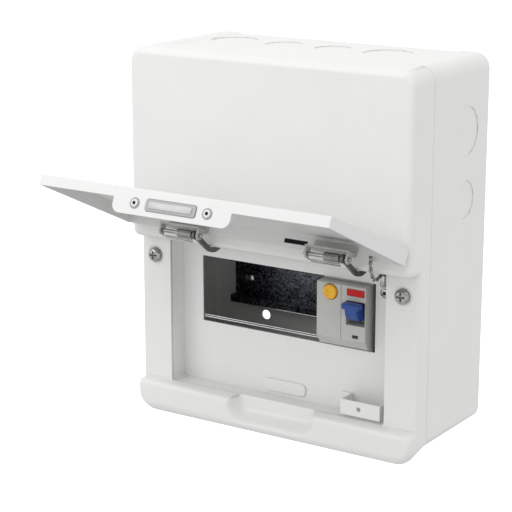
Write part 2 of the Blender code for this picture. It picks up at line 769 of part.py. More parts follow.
def build_hinge_bracket(name, x, mat):
    """U bracket behind the bulge's front wall whose two ears carry the hinge pin."""
    half = ARM_THICKNESS / 2 + 0.0006
    outer = half + PLATE_SHEET
    y, z = y_at(PIVOT_DEPTH), z_at(PIVOT_DROP)
    back_plate = y_at(SHEET) + GAP
    top = z + 0.012
    low = z - EAR_RADIUS
    bracket = new_object(name, block(x - outer, x + outer, back_plate, back_plate + 0.0009, low, top), mat)
    ears = []
    for side in (-1, 1):
        inner = x + side * half
        edge = x + side * outer
        outline = [(back_plate + 0.0001, low), *arc(y, z, EAR_RADIUS, -90, 60, 6), (back_plate + 0.0001, top)]
        ears.append(new_object("ear", prism(outline, "X", min(inner, edge), max(inner, edge))))
    combine(bracket, ears, "UNION")
    bore = round_bar(HINGE_PIN_RADIUS + PIN_CLEARANCE, (x - 0.006, y, z), (x + 0.006, y, z), 16)
    combine(bracket, [new_object("bore", bore)], "DIFFERENCE")
    return bracket


def build_hinge_pin(name, x, mat):
    half = ARM_THICKNESS / 2 + 0.0006 + PLATE_SHEET + 0.001
    y, z = y_at(PIVOT_DEPTH), z_at(PIVOT_DROP)
    head = 0.0022
    profile = [(-half - 0.0009, head * 0.8), (-half - 0.0004, head), (-half, head),
               (-half, HINGE_PIN_RADIUS), (half, HINGE_PIN_RADIUS)]
    return new_object(name, turned(profile, (x, y, z), (1, 0, 0), 16), mat)


def plate_span(x):
    """X range of the hinge plate that the arm at x belongs to."""
    return PLATE_SPANS[ARM_X.index(x)]


def build_hinge_plate(name, x, parent, mat):
    """Angle fixed inside the door's hinge flange, with an ear at each end for the spring rod."""
    x0, x1 = plate_span(x)
    y, z = rod_point()
    flange = -(BULGE_HEIGHT + DOOR_TOP_GAP + DOOR_SHEET + GAP - PIVOT_DROP)
    skin = -PIVOT_DEPTH + DOOR_SHEET + 0.0022
    leg = y - EAR_RADIUS - 0.0008
    inner = leg - PLATE_SHEET
    outline = [(skin, flange), (leg, flange), (leg, flange - PLATE_LEG), (inner, flange - PLATE_LEG),
               (inner, flange - PLATE_SHEET), (skin, flange - PLATE_SHEET)]
    plate = new_object(name, prism(outline, "X", x0, x1), mat, parent)
    ears = []
    for start in (x0, x1 - PLATE_SHEET):
        ear_outline = arc(y, z, EAR_RADIUS, -90, 90, 8)
        ear_outline += [(leg - 0.0004, z + EAR_RADIUS), (leg - 0.0004, z - EAR_RADIUS)]
        ears.append(new_object("ear", prism(ear_outline, "X", start, start + PLATE_SHEET), None, parent))
    combine(plate, ears, "UNION")
    bore = round_bar(ROD_RADIUS + PIN_CLEARANCE, (x0 - 0.002, y, z), (x1 + 0.002, y, z), 16)
    combine(plate, [new_object("bore", bore, None, parent)], "DIFFERENCE")
    return plate


def build_hinge_rod(name, x, parent, mat):
    x0, x1 = plate_span(x)
    y, z = rod_point()
    rod = round_bar(ROD_RADIUS, (x0 - ROD_PROUD, y, z), (x1 + ROD_PROUD, y, z), 16)
    return new_object(name, rod, mat, parent)


def build_hinge_spring(name, x, parent, mat):
    """Coil round the rod, ending beside the arm."""
    start = x - ARM_THICKNESS / 2 - SPRING_ARM_GAP - SPRING_LENGTH
    y, z = rod_point()
    points = []
    per_turn = 10
    for i in range(SPRING_TURNS * per_turn + 1):
        angle = 2 * math.pi * i / per_turn
        along = SPRING_LENGTH * i / (SPRING_TURNS * per_turn)
        points.append((start + along,
                       y + SPRING_RADIUS * math.cos(angle),
                       z + SPRING_RADIUS * math.sin(angle)))
    return new_object(name, tube_along(points, SPRING_WIRE_RADIUS, 5), mat, parent)


# ---- door ----------------------------------------------------------------------------------
def door_profile(grown):
    """Closed-door side outline in the door's own (y, z): outer skin, two flanges and the open back.

    grown < 0 gives the hollow that leaves the sheet behind.
    """
    top = BULGE_HEIGHT + DOOR_TOP_GAP
    bottom = LIP_DROP - DOOR_LIP_GAP
    outer_top = 0.0
    outer_bottom = LIP_DEPTH
    back = COLUMN_DEPTH - DOOR_COLUMN_GAP
    r = DOOR_EDGE_RADIUS
    if grown:
        top += DOOR_SHEET
        bottom -= DOOR_SHEET
        outer_top += DOOR_SHEET
        outer_bottom += DOOR_SHEET
        back += 0.005
        r = max(r - DOOR_SHEET, 0.0003)
    corners = arc(outer_top + r, -(top + r), r, 90, 180, 3)
    corners += arc(outer_bottom + r, -(bottom - r), r, 180, 270, 3)
    outline = corners + [(back, -bottom), (back, -top)]
    return [(depth - PIVOT_DEPTH, PIVOT_DROP + minus_drop) for depth, minus_drop in outline]


def build_door(parent, mat):
    """Folded door tray: skin, hinge flange, side flanges, free-edge flange and the pull tab."""
    half = BOX_WIDTH / 2 - DOOR_SIDE_GAP
    door = new_object("door_panel", prism(door_profile(0.0), "X", -half, half), mat, parent)
    inner = half - DOOR_SHEET
    hollow = new_object("hollow", prism(door_profile(-1), "X", -inner, inner), None, parent)
    combine(door, [hollow], "DIFFERENCE")
    z_edge = free_edge_z()
    y_back = local(COLUMN_DEPTH - DOOR_COLUMN_GAP, 0.0)[0]
    tab_left = DOOR_TAB_CENTRE_X - DOOR_TAB_HALF_WIDTH
    tab_right = DOOR_TAB_CENTRE_X + DOOR_TAB_HALF_WIDTH
    root = y_back - 2 * DOOR_SHEET
    reach = y_back + DOOR_TAB_LENGTH
    r = DOOR_TAB_RADIUS
    outline = [(tab_left, root), (tab_right, root)]
    outline += arc(tab_right - r, reach - r, r, 0, 90, 5) + arc(tab_left + r, reach - r, r, 90, 180, 5)
    tab_plate = prism(outline, "Z", z_edge, z_edge + DOOR_SHEET)
    combine(door, [new_object("tab", tab_plate, None, parent)], "UNION")
    cutters = []
    catch_y = catch_centre_y()
    cutters.append(new_object("catch_window", prism(
        catch_outline(GAP), "Z", z_edge - CUT_REACH, z_edge + CUT_REACH), None, parent))
    for side in (-1, 1):
        cutters.append(new_object("rivet_hole", round_bar(
            RIVET_SHANK_RADIUS + GAP, (rivet_x(side), catch_y, z_edge - CUT_REACH),
            (rivet_x(side), catch_y, z_edge + CUT_REACH), 12), None, parent))
    flange_z = local(0.0, BULGE_HEIGHT + DOOR_TOP_GAP)[1]
    for x0, x1 in ((0.018, 0.035), (0.0608, 0.0632)):
        cutters.append(new_object("flange_slot", block(
            x0, x1, -0.001, 0.0018, flange_z - 0.003, flange_z + 0.003), None, parent))
    combine(door, cutters, "DIFFERENCE")
    return door


def free_edge_z():
    """Outer face of the free-edge flange, in the door's own frame."""
    return local(0.0, LIP_DROP - DOOR_LIP_GAP)[1]


def rivet_x(side):
    return DOOR_TAB_CENTRE_X + side * RIVET_X


def catch_centre_y():
    """Middle of the free-edge flange with its tab, in the door's own frame."""
    front = local(LIP_DEPTH, 0.0)[0]
    reach = local(COLUMN_DEPTH - DOOR_COLUMN_GAP, 0.0)[0] + DOOR_TAB_LENGTH
    return (front + reach) / 2 + 0.0012


def catch_outline(grown):
    """Outline of the catch's face, or of its window when grown by a gap."""
    half = CATCH_WIDTH / 2 + grown
    rise = CATCH_HEIGHT / 2 + grown
    radius = CATCH_CORNER_RADIUS + grown
    y = catch_centre_y()
    return rounded_outline(DOOR_TAB_CENTRE_X - half, DOOR_TAB_CENTRE_X + half, y - rise, y + rise,
                           radius, radius, 3)


def build_catch(parent, mat):
    """Magnetic catch let into the free-edge flange, a block behind with its face just proud."""
    z_edge = free_edge_z()
    y = catch_centre_y()
    x = DOOR_TAB_CENTRE_X
    body = prism(catch_outline(0.0), "Z", z_edge - CATCH_PROUD, z_edge + CATCH_BODY_DEPTH)
    catch = new_object("magnet_catch", body, mat, parent)
    wing = RIVET_X + 0.004
    floor = z_edge + DOOR_SHEET + GAP
    wings = bevelled_block(x - wing, x + wing, y - CATCH_HEIGHT / 2, y + CATCH_HEIGHT / 2,
                           floor, floor + 0.002, 0.0004, 1)
    combine(catch, [new_object("wings", wings, None, parent)], "UNION")
    holes = []
    for side in (-1, 1):
        holes.append(new_object("hole", round_bar(
            RIVET_SHANK_RADIUS + GAP, (rivet_x(side), y, floor - CUT_REACH),
            (rivet_x(side), y, floor + CUT_REACH), 12), None, parent))
    combine(catch, holes, "DIFFERENCE")
    return catch


def rivet_profile(length):
    """Dimpled rivet: hollow dome head at the start, plain shank behind."""
    r = RIVET_HEAD_RADIUS
    h = RIVET_HEAD_HEIGHT
    dimple = [(-h * 0.2, 0.0), (-h * 0.2, r * 0.38), (-h, r * 0.50)]
    head = dimple + [(-h * 0.9, r * 0.78), (-h * 0.35, r * 0.98)]
    return head + [(0.0, r), (0.0, RIVET_SHANK_RADIUS), (length, RIVET_SHANK_RADIUS)]


def build_catch_rivet(name, side, parent, mat):
    z_edge = free_edge_z()
    origin = (rivet_x(side), catch_centre_y(), z_edge - GAP)
    return new_object(name, turned(rivet_profile(RIVET_LENGTH), origin, (0, 0, 1), 16), mat, parent)


# ---- fittings on the panel ---------------------------------------------------------------------
def build_keeper(mat):
    """Steel strip that the door's magnet pulls on."""
    face = y_at(PANEL_DEPTH) - GAP
    outline = rounded_outline(-KEEPER_WIDTH / 2 - 0.001, KEEPER_WIDTH / 2 - 0.001,
                              z_at(KEEPER_DROP + KEEPER_HEIGHT - 0.001), z_at(KEEPER_DROP - 0.001),
                              0.0035, 0.0035, 4)
    inner = [(x * 0.96, z + (0.0003 if z < z_at(KEEPER_DROP + KEEPER_HEIGHT / 2) else -0.0003))
             for x, z in outline]
    return new_object("keeper_plate", loft_along_y([
        (face - KEEPER_THICKNESS, inner), (face - KEEPER_THICKNESS * 0.7, outline), (face, outline)]), mat)


def build_lock_bracket(mat):
    """Small U bracket standing off the inner panel, open above and below, with a hole in its web."""
    face = y_at(PANEL_DEPTH) - GAP
    front = face - BRACKET_REACH
    t = BRACKET_SHEET
    x0 = BRACKET_LEFT_X
    x1 = BRACKET_RIGHT_X
    foot = BRACKET_FOOT
    outline = [(x0 - foot, face), (x0 - foot, face - t), (x0, face - t), (x0, front), (x1, front),
               (x1, face), (x1 - t, face), (x1 - t, front + t), (x0 + t, front + t), (x0 + t, face)]
    low = z_at(BRACKET_DROP + BRACKET_HEIGHT)
    high = z_at(BRACKET_DROP)
    bracket = new_object("lock_bracket", prism(outline, "Z", low, high), mat)
    middle = (low + high) / 2
    hole = round_bar(BRACKET_HOLE_RADIUS, (BRACKET_HOLE_X, front - 0.002, middle),
                     (BRACKET_HOLE_X, front + 0.004, middle), 16)
    combine(bracket, [new_object("hole", hole)], "DIFFERENCE")
    return bracket


def build_bracket_rivet(mat):
    face = y_at(PANEL_DEPTH) - GAP - BRACKET_SHEET - GAP
    middle = z_at(BRACKET_DROP + BRACKET_HEIGHT / 2)
    origin = (BRACKET_LEFT_X - BRACKET_FOOT / 2, face, middle)
    r = BRACKET_RIVET_RADIUS
    h = BRACKET_RIVET_HEIGHT
    dome = [(0.0, 0.0), (0.0, r), (h * 0.5, r * 0.9), (h * 0.9, r * 0.45), (h, 0.0)]
    return new_object("lock_bracket_rivet", turned(dome, origin, (0, -1, 0), 12), mat)


# ---- earth strap ---------------------------------------------------------------------------------
def build_earth_lug(mat):
    """Ring lug on the panel with its crimp barrel above."""
    face = y_at(PANEL_DEPTH) - GAP
    z = z_at(LUG_DROP)
    outline = arc(LUG_X, z, LUG_RING_RADIUS, 140, 400, 14)
    top = z + LUG_RING_RADIUS + 0.003
    outline += [(LUG_X + 0.0022, top), (LUG_X - 0.0022, top)]
    lug = new_object("earth_lug", prism(outline, "Y", face - LUG_SHEET, face), mat)
    barrel = round_bar(LUG_BARREL_RADIUS, (LUG_X, face - LUG_BARREL_RADIUS, top - 0.0015),
                       (LUG_X, face - LUG_BARREL_RADIUS, top - 0.0015 + LUG_BARREL_LENGTH), 12)
    combine(lug, [new_object("barrel", barrel)], "UNION")
    hole = round_bar(RIVET_SHANK_RADIUS + GAP, (LUG_X, face - 0.004, z), (LUG_X, face + 0.004, z), 12)
    mouth_low = top - 0.0015 + 0.0015
    mouth = round_bar(STRAP_RADIUS + GAP, (LUG_X, face - LUG_BARREL_RADIUS, mouth_low + 0.001),
                      (LUG_X, face - LUG_BARREL_RADIUS, top + LUG_BARREL_LENGTH + 0.002), 12)
    combine(lug, [new_object("hole", hole), new_object("mouth", mouth)], "DIFFERENCE")
    return lug


def lug_mouth():
    """World point just above the lug's barrel where the strap starts."""
    face = y_at(PANEL_DEPTH) - GAP
    top = z_at(LUG_DROP) + LUG_RING_RADIUS + 0.0015 + LUG_BARREL_LENGTH
    return Vector((LUG_X, face - LUG_BARREL_RADIUS, top + GAP))


def door_eyelet():
    """World point of the strap's end under the door's hinge flange."""
    depth, drop = turn_point(0.0085, BULGE_HEIGHT + 0.0055, DOOR_OPEN_DEG)
    return Vector((STRAP_DOOR_X, y_at(depth), z_at(drop)))


def strap_route():
    """Points of the earth strap at rest: out of the lug, under the cover's edge and up to the door."""
    start = lug_mouth()
    end = door_eyelet()
    hang = z_at(BULGE_HEIGHT)
    return [
        start,
        start + Vector((0.0004, -0.0008, 0.0022)),
        start + Vector((0.0012, -0.0050, 0.0024)),
        Vector((LUG_X + 0.0028, y_at(0.0120), hang - 0.0052)),
        Vector((LUG_X + 0.0045, y_at(0.0040), hang - 0.0045)),
        Vector((LUG_X + 0.0065, y_at(-0.0030), hang - 0.0005)),
        end + Vector((-0.0004, 0.0006, -0.0085)),
        end + Vector((0.0, -0.0006, -0.0035)),
        end,
    ]


def build_earth_strap(mat):
    return new_object("earth_strap", tube_along(smooth_route(strap_route(), 26), STRAP_RADIUS, 8), mat)


def build_lug_rivet(mat):
    origin = (LUG_X, y_at(PANEL_DEPTH) - 2 * GAP - LUG_SHEET, z_at(LUG_DROP))
    profile = [(-0.0006, 0.0), (-0.0006, 0.0009), (-0.0010, 0.0014), (-0.0005, 0.0024), (0.0, 0.0025),
               (0.0, RIVET_SHANK_RADIUS), (0.0008, RIVET_SHANK_RADIUS)]
    return new_object("earth_lug_rivet", turned(profile, origin, (0, 1, 0), 16), mat)


# ---- rail ------------------------------------------------------------------------------------
def rail_front_depth():
    """Depth of the rail's front lips, which the breaker hooks onto."""
    return PANEL_DEPTH + RCD_SHOULDER_GAP + RCD_BODY_DEPTH


def build_rail(mat):
    """Top-hat rail along X."""
    middle = z_at(RAIL_DROP)
    front = y_at(rail_front_depth())
    back = front + RAIL_HEIGHT
    half = RAIL_WIDTH / 2
    t = RAIL_SHEET
    web = half - RAIL_LIP
    outline = [(front, middle + half), (front, middle + web - t), (back - t, middle + web - t),
               (back - t, middle - web + t), (front, middle - web + t), (front, middle - half),
               (front + t, middle - half), (front + t, middle - web), (back, middle - web),
               (back, middle + web), (front + t, middle + web), (front + t, middle + half)]
    rail = new_object("din_rail", prism(outline, "X", -RAIL_LENGTH / 2, RAIL_LENGTH / 2), mat)
    holes = []
    for side in (-1, 1):
        x = side * SUPPORT_X
        holes.append(new_object("hole", round_bar(
            RAIL_HOLE_RADIUS, (x, back - CUT_REACH, middle), (x, back + CUT_REACH, middle), 16)))
    combine(rail, holes, "DIFFERENCE")
    return rail


def build_rail_support(name, x, mat):
    """Bridge bracket between the tray's back wall and the rail."""
    middle = z_at(RAIL_DROP)
    front = y_at(rail_front_depth()) + RAIL_HEIGHT + GAP
    back = y_at(BOX_DEPTH) - SHEET - GAP
    t = SUPPORT_SHEET
    rise = SUPPORT_HALF_HEIGHT
    foot = SUPPORT_HALF_SPREAD
    lower = [(front, -rise), (back - t, -rise), (back - t, -foot), (back, -foot), (back, -rise + t),
             (front + t, -rise + t)]
    outline = [(y, middle + z) for y, z in lower] + [(y, middle - z) for y, z in lower[::-1]]
    half = SUPPORT_WIDTH / 2
    support = new_object(name, prism(outline, "X", x - half, x + half), mat)
    hole = round_bar(SUPPORT_HOLE_RADIUS, (x, front - CUT_REACH, middle), (x, front + CUT_REACH, middle), 16)
    combine(support, [new_object("hole", hole)], "DIFFERENCE")
    return support


def build_rail_screw(name, x, mat):
    back = y_at(rail_front_depth()) + RAIL_HEIGHT - RAIL_SHEET - GAP
    profile = [(-0.0022, 0.0), (-0.0022, 0.0018), (-0.0015, 0.0034), (0.0, 0.0038), (0.0, 0.0019),
               (0.0075, 0.0019), (0.0080, 0.0012)]
    return new_object(name, turned(profile, (x, back, z_at(RAIL_DROP)), (0, 1, 0), 16), mat)


# ---- residual current device -----------------------------------------------------------------
def rcd_box():
    """x0, x1, shoulder y, rail y, nose z range and body z range of the device."""
    x1 = RCD_RIGHT_X
    x0 = x1 - 2 * MODULE_WIDTH + RCD_SIDE_GAP
    shoulder = y_at(PANEL_DEPTH + SHEET + RCD_SHOULDER_GAP)
    rail = y_at(rail_front_depth()) - GAP
    nose_top = z_at(RCD_NOSE_DROP)
    nose_low = nose_top - RCD_NOSE_HEIGHT
    low = z_at(RAIL_DROP) - RCD_BODY_HEIGHT / 2
    return x0, x1, shoulder, rail, nose_low, nose_top, low, low + RCD_BODY_HEIGHT


def toggle_pivot():
    """(x, y, z) of the toggle's axis, in the right-hand module of the device."""
    x1 = RCD_RIGHT_X
    return x1 - TOGGLE_INSET_X, y_at(RCD_NOSE_DEPTH + TOGGLE_AXIS_DEPTH), z_at(TOGGLE_DROP)


def label_span():
    """X range of the coloured label on the device's right-hand module."""
    x0, x1 = rcd_box()[:2]
    return x0 + MODULE_WIDTH + LABEL_MARGIN_LEFT, x1 - LABEL_MARGIN_RIGHT


def test_button_centre():
    x0 = rcd_box()[0]
    return x0 + TEST_INSET_X, y_at(RCD_NOSE_DEPTH), z_at(TEST_DROP)


def build_rcd_body(mat):
    """Two-module case: nose, shoulders, terminal tunnels, toggle well, button well and rail notch."""
    x0, x1, shoulder, rail, nose_low, nose_top, low, high = rcd_box()
    nose = y_at(RCD_NOSE_DEPTH)
    tail = rail + RAIL_HEIGHT - 0.002
    middle = z_at(RAIL_DROP)
    half = RAIL_WIDTH / 2 + 0.0006
    bottom_step = nose + 0.0042
    outline = [
        (nose, nose_top - 0.0005), (nose + 0.0005, nose_top), (shoulder, nose_top), (shoulder, high),
        (rail, high), (rail, middle + half + 0.004), (tail, middle + half + 0.004), (tail, middle + half),
        (rail, middle + half), (rail, middle - half), (tail - 0.003, middle - half),
        (tail - 0.003, middle - half - 0.008), (rail - 0.004, middle - half - 0.008), (rail - 0.004, low),
        (shoulder, low), (shoulder, nose_low), (bottom_step, nose_low), (nose, nose_low + 0.0060),
    ]
    case = new_object("rcd_case", prism(outline, "X", x0, x1), mat)
    tx, ty, tz = toggle_pivot()
    bx, by, bz = test_button_centre()
    well_half = TOGGLE_HALF_WIDTH + TOGGLE_WELL_GAP
    label_x0, label_x1 = label_span()
    cutters = [
        new_object("toggle_well", block(
            tx - well_half, tx + well_half, nose - 0.002, ty + TOGGLE_HUB_RADIUS + 0.0008,
            tz - TOGGLE_HUB_RADIUS - TOGGLE_WELL_BELOW, tz + TOGGLE_HUB_RADIUS + TOGGLE_WELL_ABOVE)),
        new_object("button_well", round_bar(
            TEST_RADIUS + 0.0004, (bx, by - 0.002, bz),
            (bx, by + TEST_LENGTH - TEST_PROUD + 2 * TEST_TRAVEL, bz), 20)),
        new_object("module_line", block(
            x0 + MODULE_WIDTH - 0.0002, x0 + MODULE_WIDTH + 0.0002, nose - 0.001, nose + 0.0005,
            nose_low - 0.001, nose_top + 0.001)),
        new_object("label_seat", block(
            label_x0 - GAP, label_x1 + GAP, nose - 0.001, nose + LABEL_SEAT,
            z_at(LABEL_DROP + LABEL_HEIGHT) - GAP, z_at(LABEL_DROP) + GAP)),
        new_object("flag_window", block(
            tx - FLAG_HALF_WIDTH - GAP, tx + FLAG_HALF_WIDTH + GAP, nose - 0.001, nose + 0.0012,
            z_at(FLAG_DROP + FLAG_HEIGHT) - GAP, z_at(FLAG_DROP) + GAP)),
        new_object("clip_slot", block(
            (x0 + x1) / 2 - 0.0063, (x0 + x1) / 2 + 0.0063, rail - 0.0016, tail + 0.001,
            low - 0.001, middle - half + 0.0010)),
    ]
    for module in (0.5, 1.5):
        mx = x0 + MODULE_WIDTH * module
        for end, inner in ((high, high - 0.012), (low, low + 0.012)):
            mz0, mz1 = min(end, inner), max(end, inner)
            over = 0.001 if end == high else -0.001
            cutters.append(new_object("cable_mouth", block(
                mx - MOUTH_HALF_WIDTH, mx + MOUTH_HALF_WIDTH, shoulder + MOUTH_FRONT * RCD_BODY_DEPTH,
                shoulder + MOUTH_BACK * RCD_BODY_DEPTH,
                min(inner, end + over), max(inner, end + over))))
            cutters.append(new_object("screw_tunnel", round_bar(
                TERMINAL_RADIUS + 0.0004, (mx, shoulder - 0.002, (mz0 + mz1) / 2),
                (mx, shoulder + 0.008, (mz0 + mz1) / 2), 14)))
    combine(case, cutters, "DIFFERENCE")
    return case


def build_toggle(mat):
    """Rocker lever: hub in the well with a wide finger bar, drawn at the on (up) stop."""
    x, y, z = toggle_pivot()
    parent = add_empty("toggle_axis", (x, y, z))
    half = TOGGLE_HALF_WIDTH
    stem = TOGGLE_STEM_HALF_WIDTH
    hub = round_bar(TOGGLE_HUB_RADIUS, (-half + 0.001, 0, 0), (half - 0.001, 0, 0), 20)
    toggle = new_object("rcd_toggle", hub, mat, parent)
    stem_outline = [(0.0, -0.0050), (-0.0062, -0.0046), (-0.0098, -0.0012), (-0.0112, 0.0036),
                    (-0.0096, 0.0052), (0.0, 0.0046)]
    stem_piece = new_object("stem", prism(stem_outline, "X", -stem, stem), None, parent)
    bar = bevelled_block(-half, half, -0.0118, -0.0062, 0.0034, 0.0074, 0.0007, 1)
    combine(toggle, [stem_piece, new_object("bar", bar, None, parent)], "UNION")
    return toggle


def build_test_button(mat):
    x, y, z = test_button_centre()
    r = TEST_RADIUS
    tail = TEST_LENGTH - TEST_PROUD
    profile = [(-TEST_PROUD, 0.0), (-TEST_PROUD, r * 0.86), (-TEST_PROUD + 0.0005, r), (tail, r), (tail, 0.0)]
    parent = add_empty("test_button_axis", (x, y, z))
    button = turned(profile, (0, 0, 0), (0, 1, 0), 20)
    return new_object("rcd_test_button", button, mat, parent)


def build_rcd_label(mat):
    x0, x1 = label_span()
    nose = y_at(RCD_NOSE_DEPTH)
    plate = block(x0, x1, nose - LABEL_PROUD, nose + LABEL_SEAT - 0.0002, z_at(LABEL_DROP + LABEL_HEIGHT),
                  z_at(LABEL_DROP))
    return new_object("rcd_label", plate, mat)


def build_rcd_flag(mat):
    tx = toggle_pivot()[0]
    nose = y_at(RCD_NOSE_DEPTH)
    return new_object("rcd_flag", block(
        tx - FLAG_HALF_WIDTH, tx + FLAG_HALF_WIDTH, nose + 0.0004, nose + 0.0009,
        z_at(FLAG_DROP + FLAG_HEIGHT), z_at(FLAG_DROP)), mat)


def build_rcd_clip(mat):
    """Spring-back slider that grips the rail's lower lip; it pulls down to free the device."""
    x0, x1 = rcd_box()[:2]
    low = rcd_box()[6]
    rail = y_at(rail_front_depth()) - GAP
    middle = z_at(RAIL_DROP)
    lip = middle - RAIL_WIDTH / 2
    t = RAIL_SHEET
    face = rail - 0.0012
    deep = rail + GAP + t + 0.0004
    outline = [(face, low - 0.003), (face, lip - 0.0012), (deep, lip - 0.0012), (deep, lip + 0.0018),
               (deep + 0.0014, lip + 0.0004), (deep + 0.0014, lip - 0.0034), (face + 0.0022, lip - 0.0034),
               (face + 0.0022, low - 0.003)]
    cx = (x0 + x1) / 2
    return new_object("rcd_rail_clip", prism(outline, "X", cx - 0.006, cx + 0.006), mat)


def build_terminal_screws(mat):
    x0, x1, shoulder, rail, nose_low, nose_top, low, high = rcd_box()
    for column, module in (("left", 0.5), ("right", 1.5)):
        mx = x0 + MODULE_WIDTH * module
        for row, mz in (("top", high - 0.006), ("bottom", low + 0.006)):
            profile = [(0.0040, 0.0), (0.0040, TERMINAL_RADIUS * 0.9), (0.0044, TERMINAL_RADIUS),
                       (0.0070, TERMINAL_RADIUS), (0.0070, 0.0)]
            screw = new_object(f"rcd_screw_{row}_{column}",
                               turned(profile, (mx, shoulder, mz), (0, 1, 0), 14), mat)
            half = TERMINAL_RADIUS * 0.75
            slot = block(mx - half, mx + half, shoulder + 0.003, shoulder + 0.005, mz - 0.0005, mz + 0.0005)
            combine(screw, [new_object("slot", slot)], "DIFFERENCE")


# ---- terminal bars -----------------------------------------------------------------------------
def build_terminal_bar(kind, centre_x, bar_mat, carrier_mat, screw_mat):
    """Brass bar of clamping ways on an insulating carrier at the top of the tray's back wall."""
    back = y_at(BOX_DEPTH) - SHEET - GAP
    z = z_at(BAR_DROP)
    half = BAR_PITCH * BAR_WAYS / 2
    stand = 0.014
    foot = 0.006
    h = BAR_CARRIER_HEIGHT / 2
    outline = [(-half - foot, back), (-half - foot, back - 0.003), (-half - 0.001, back - 0.003),
               (-half - 0.001, back - stand), (half + 0.001, back - stand), (half + 0.001, back - 0.003),
               (half + foot, back - 0.003), (half + foot, back)]
    outline = [(centre_x + x, y) for x, y in outline]
    new_object(f"{kind}_bar_carrier", prism(outline, "Z", z - h, z + h), carrier_mat)
    bar_back = back - stand - GAP
    s = BAR_SECTION
    bar = new_object(f"{kind}_bar", bevelled_block(
        centre_x - half, centre_x + half, bar_back - s, bar_back, z - s / 2, z + s / 2, 0.0005, 1), bar_mat)
    cutters = []
    for way in range(BAR_WAYS):
        x = centre_x - half + BAR_PITCH * (way + 0.5)
        cutters.append(new_object("way", round_bar(
            0.0021, (x, bar_back - s / 2, z - s), (x, bar_back - s / 2, z + s), 12)))
        cutters.append(new_object("thread", round_bar(
            BAR_SCREW_RADIUS * 0.75 + GAP, (x, bar_back - s - 0.001, z), (x, bar_back - s / 2, z), 12)))
    combine(bar, cutters, "DIFFERENCE")
    for way in range(BAR_WAYS):
        x = centre_x - half + BAR_PITCH * (way + 0.5)
        front = bar_back - s - GAP
        r = BAR_SCREW_RADIUS
        profile = [(-0.0022, 0.0), (-0.0022, r * 0.85), (-0.0018, r), (0.0, r), (0.0, r * 0.75),
                   (s / 2 - 0.0014, r * 0.75), (s / 2 - 0.0014, 0.0)]
        new_object(f"{kind}_bar_screw_{way + 1}", turned(profile, (x, front, z), (0, 1, 0), 12), screw_mat)


# ---- assembly ----------------------------------------------------------------------------------
def main():
    clear_scene()
    white = make_material("white_powder_coat", (0.86, 0.86, 0.85), 0.38)
    zinc = make_material("zinc_plate", (0.72, 0.72, 0.70), 0.28, 1.0)
    galvanised = make_material("galvanised_steel", (0.55, 0.57, 0.60), 0.40, 1.0)
    dark_steel = make_material("dark_steel", (0.18, 0.18, 0.17), 0.45, 0.9)
    catch_grey = make_material("catch_grey", (0.66, 0.66, 0.66), 0.35)
    case_grey = make_material("case_grey", (0.68, 0.68, 0.66), 0.45)
    toggle_blue = make_material("toggle_blue", (0.05, 0.12, 0.45), 0.35)
    button_yellow = make_material("button_yellow", (0.80, 0.52, 0.06), 0.40)
    label_red = make_material("label_red", (0.60, 0.03, 0.04), 0.50)
    black = make_material("black_plastic", (0.02, 0.02, 0.02), 0.50)
    brass = make_material("brass", (0.78, 0.60, 0.28), 0.32, 1.0)
    copper = make_material("tinned_braid", (0.70, 0.68, 0.64), 0.35, 1.0)

    build_base_box(white)
    build_front_cover(white)
    for name, side in (("left", -1), ("right", 1)):
        build_cover_screw(f"cover_screw_{name}", side * SCREW_X, zinc)
        build_cover_post(f"cover_post_{name}", side, galvanised)

    door_pivot = add_empty("door_pivot", (0.0, y_at(PIVOT_DEPTH), z_at(PIVOT_DROP)),
                           -math.radians(DOOR_OPEN_DEG))
    build_door(door_pivot, white)
    build_catch(door_pivot, catch_grey)
    for name, side, x in (("left", -1, ARM_X[0]), ("right", 1, ARM_X[1])):
        build_catch_rivet(f"catch_rivet_{name}", side, door_pivot, white)
        build_hinge_arm(f"hinge_arm_{name}", x, door_pivot, dark_steel)
        build_hinge_plate(f"hinge_plate_{name}", x, door_pivot, zinc)
        build_hinge_rod(f"hinge_rod_{name}", x, door_pivot, zinc)
        build_hinge_spring(f"hinge_spring_{name}", x, door_pivot, zinc)
        build_hinge_bracket(f"hinge_bracket_{name}", x, galvanised)
        build_hinge_pin(f"hinge_pin_{name}", x, zinc)

    build_keeper(white)
    build_lock_bracket(white)
    build_bracket_rivet(white)
    build_earth_lug(zinc)
    build_lug_rivet(zinc)
    build_earth_strap(copper)

    build_rail(galvanised)
    for name, side in (("left", -1), ("right", 1)):
        build_rail_support(f"rail_support_{name}", side * SUPPORT_X, galvanised)
        build_rail_screw(f"rail_screw_{name}", side * SUPPORT_X, zinc)
    build_rcd_body(case_grey)
    build_toggle(toggle_blue)
    build_test_button(button_yellow)
    build_rcd_label(label_red)
    build_rcd_flag(black)
    build_rcd_clip(black)
    build_terminal_screws(zinc)
    build_terminal_bar("neutral", -BAR_CENTRE_X, brass, black, zinc)
    build_terminal_bar("earth", BAR_CENTRE_X, brass, black, zinc)


main()
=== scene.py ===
"""Looks of the breaker panel box: rounded and finished pieces, materials, soft light and the camera.

Metres, in the CAD frame: X to the right, the front faces -Y, Z up, the origin on the wall face.
"""

import json
import math

import bmesh
import bpy
from mathutils import Matrix, Vector
from mathutils.bvhtree import BVHTree


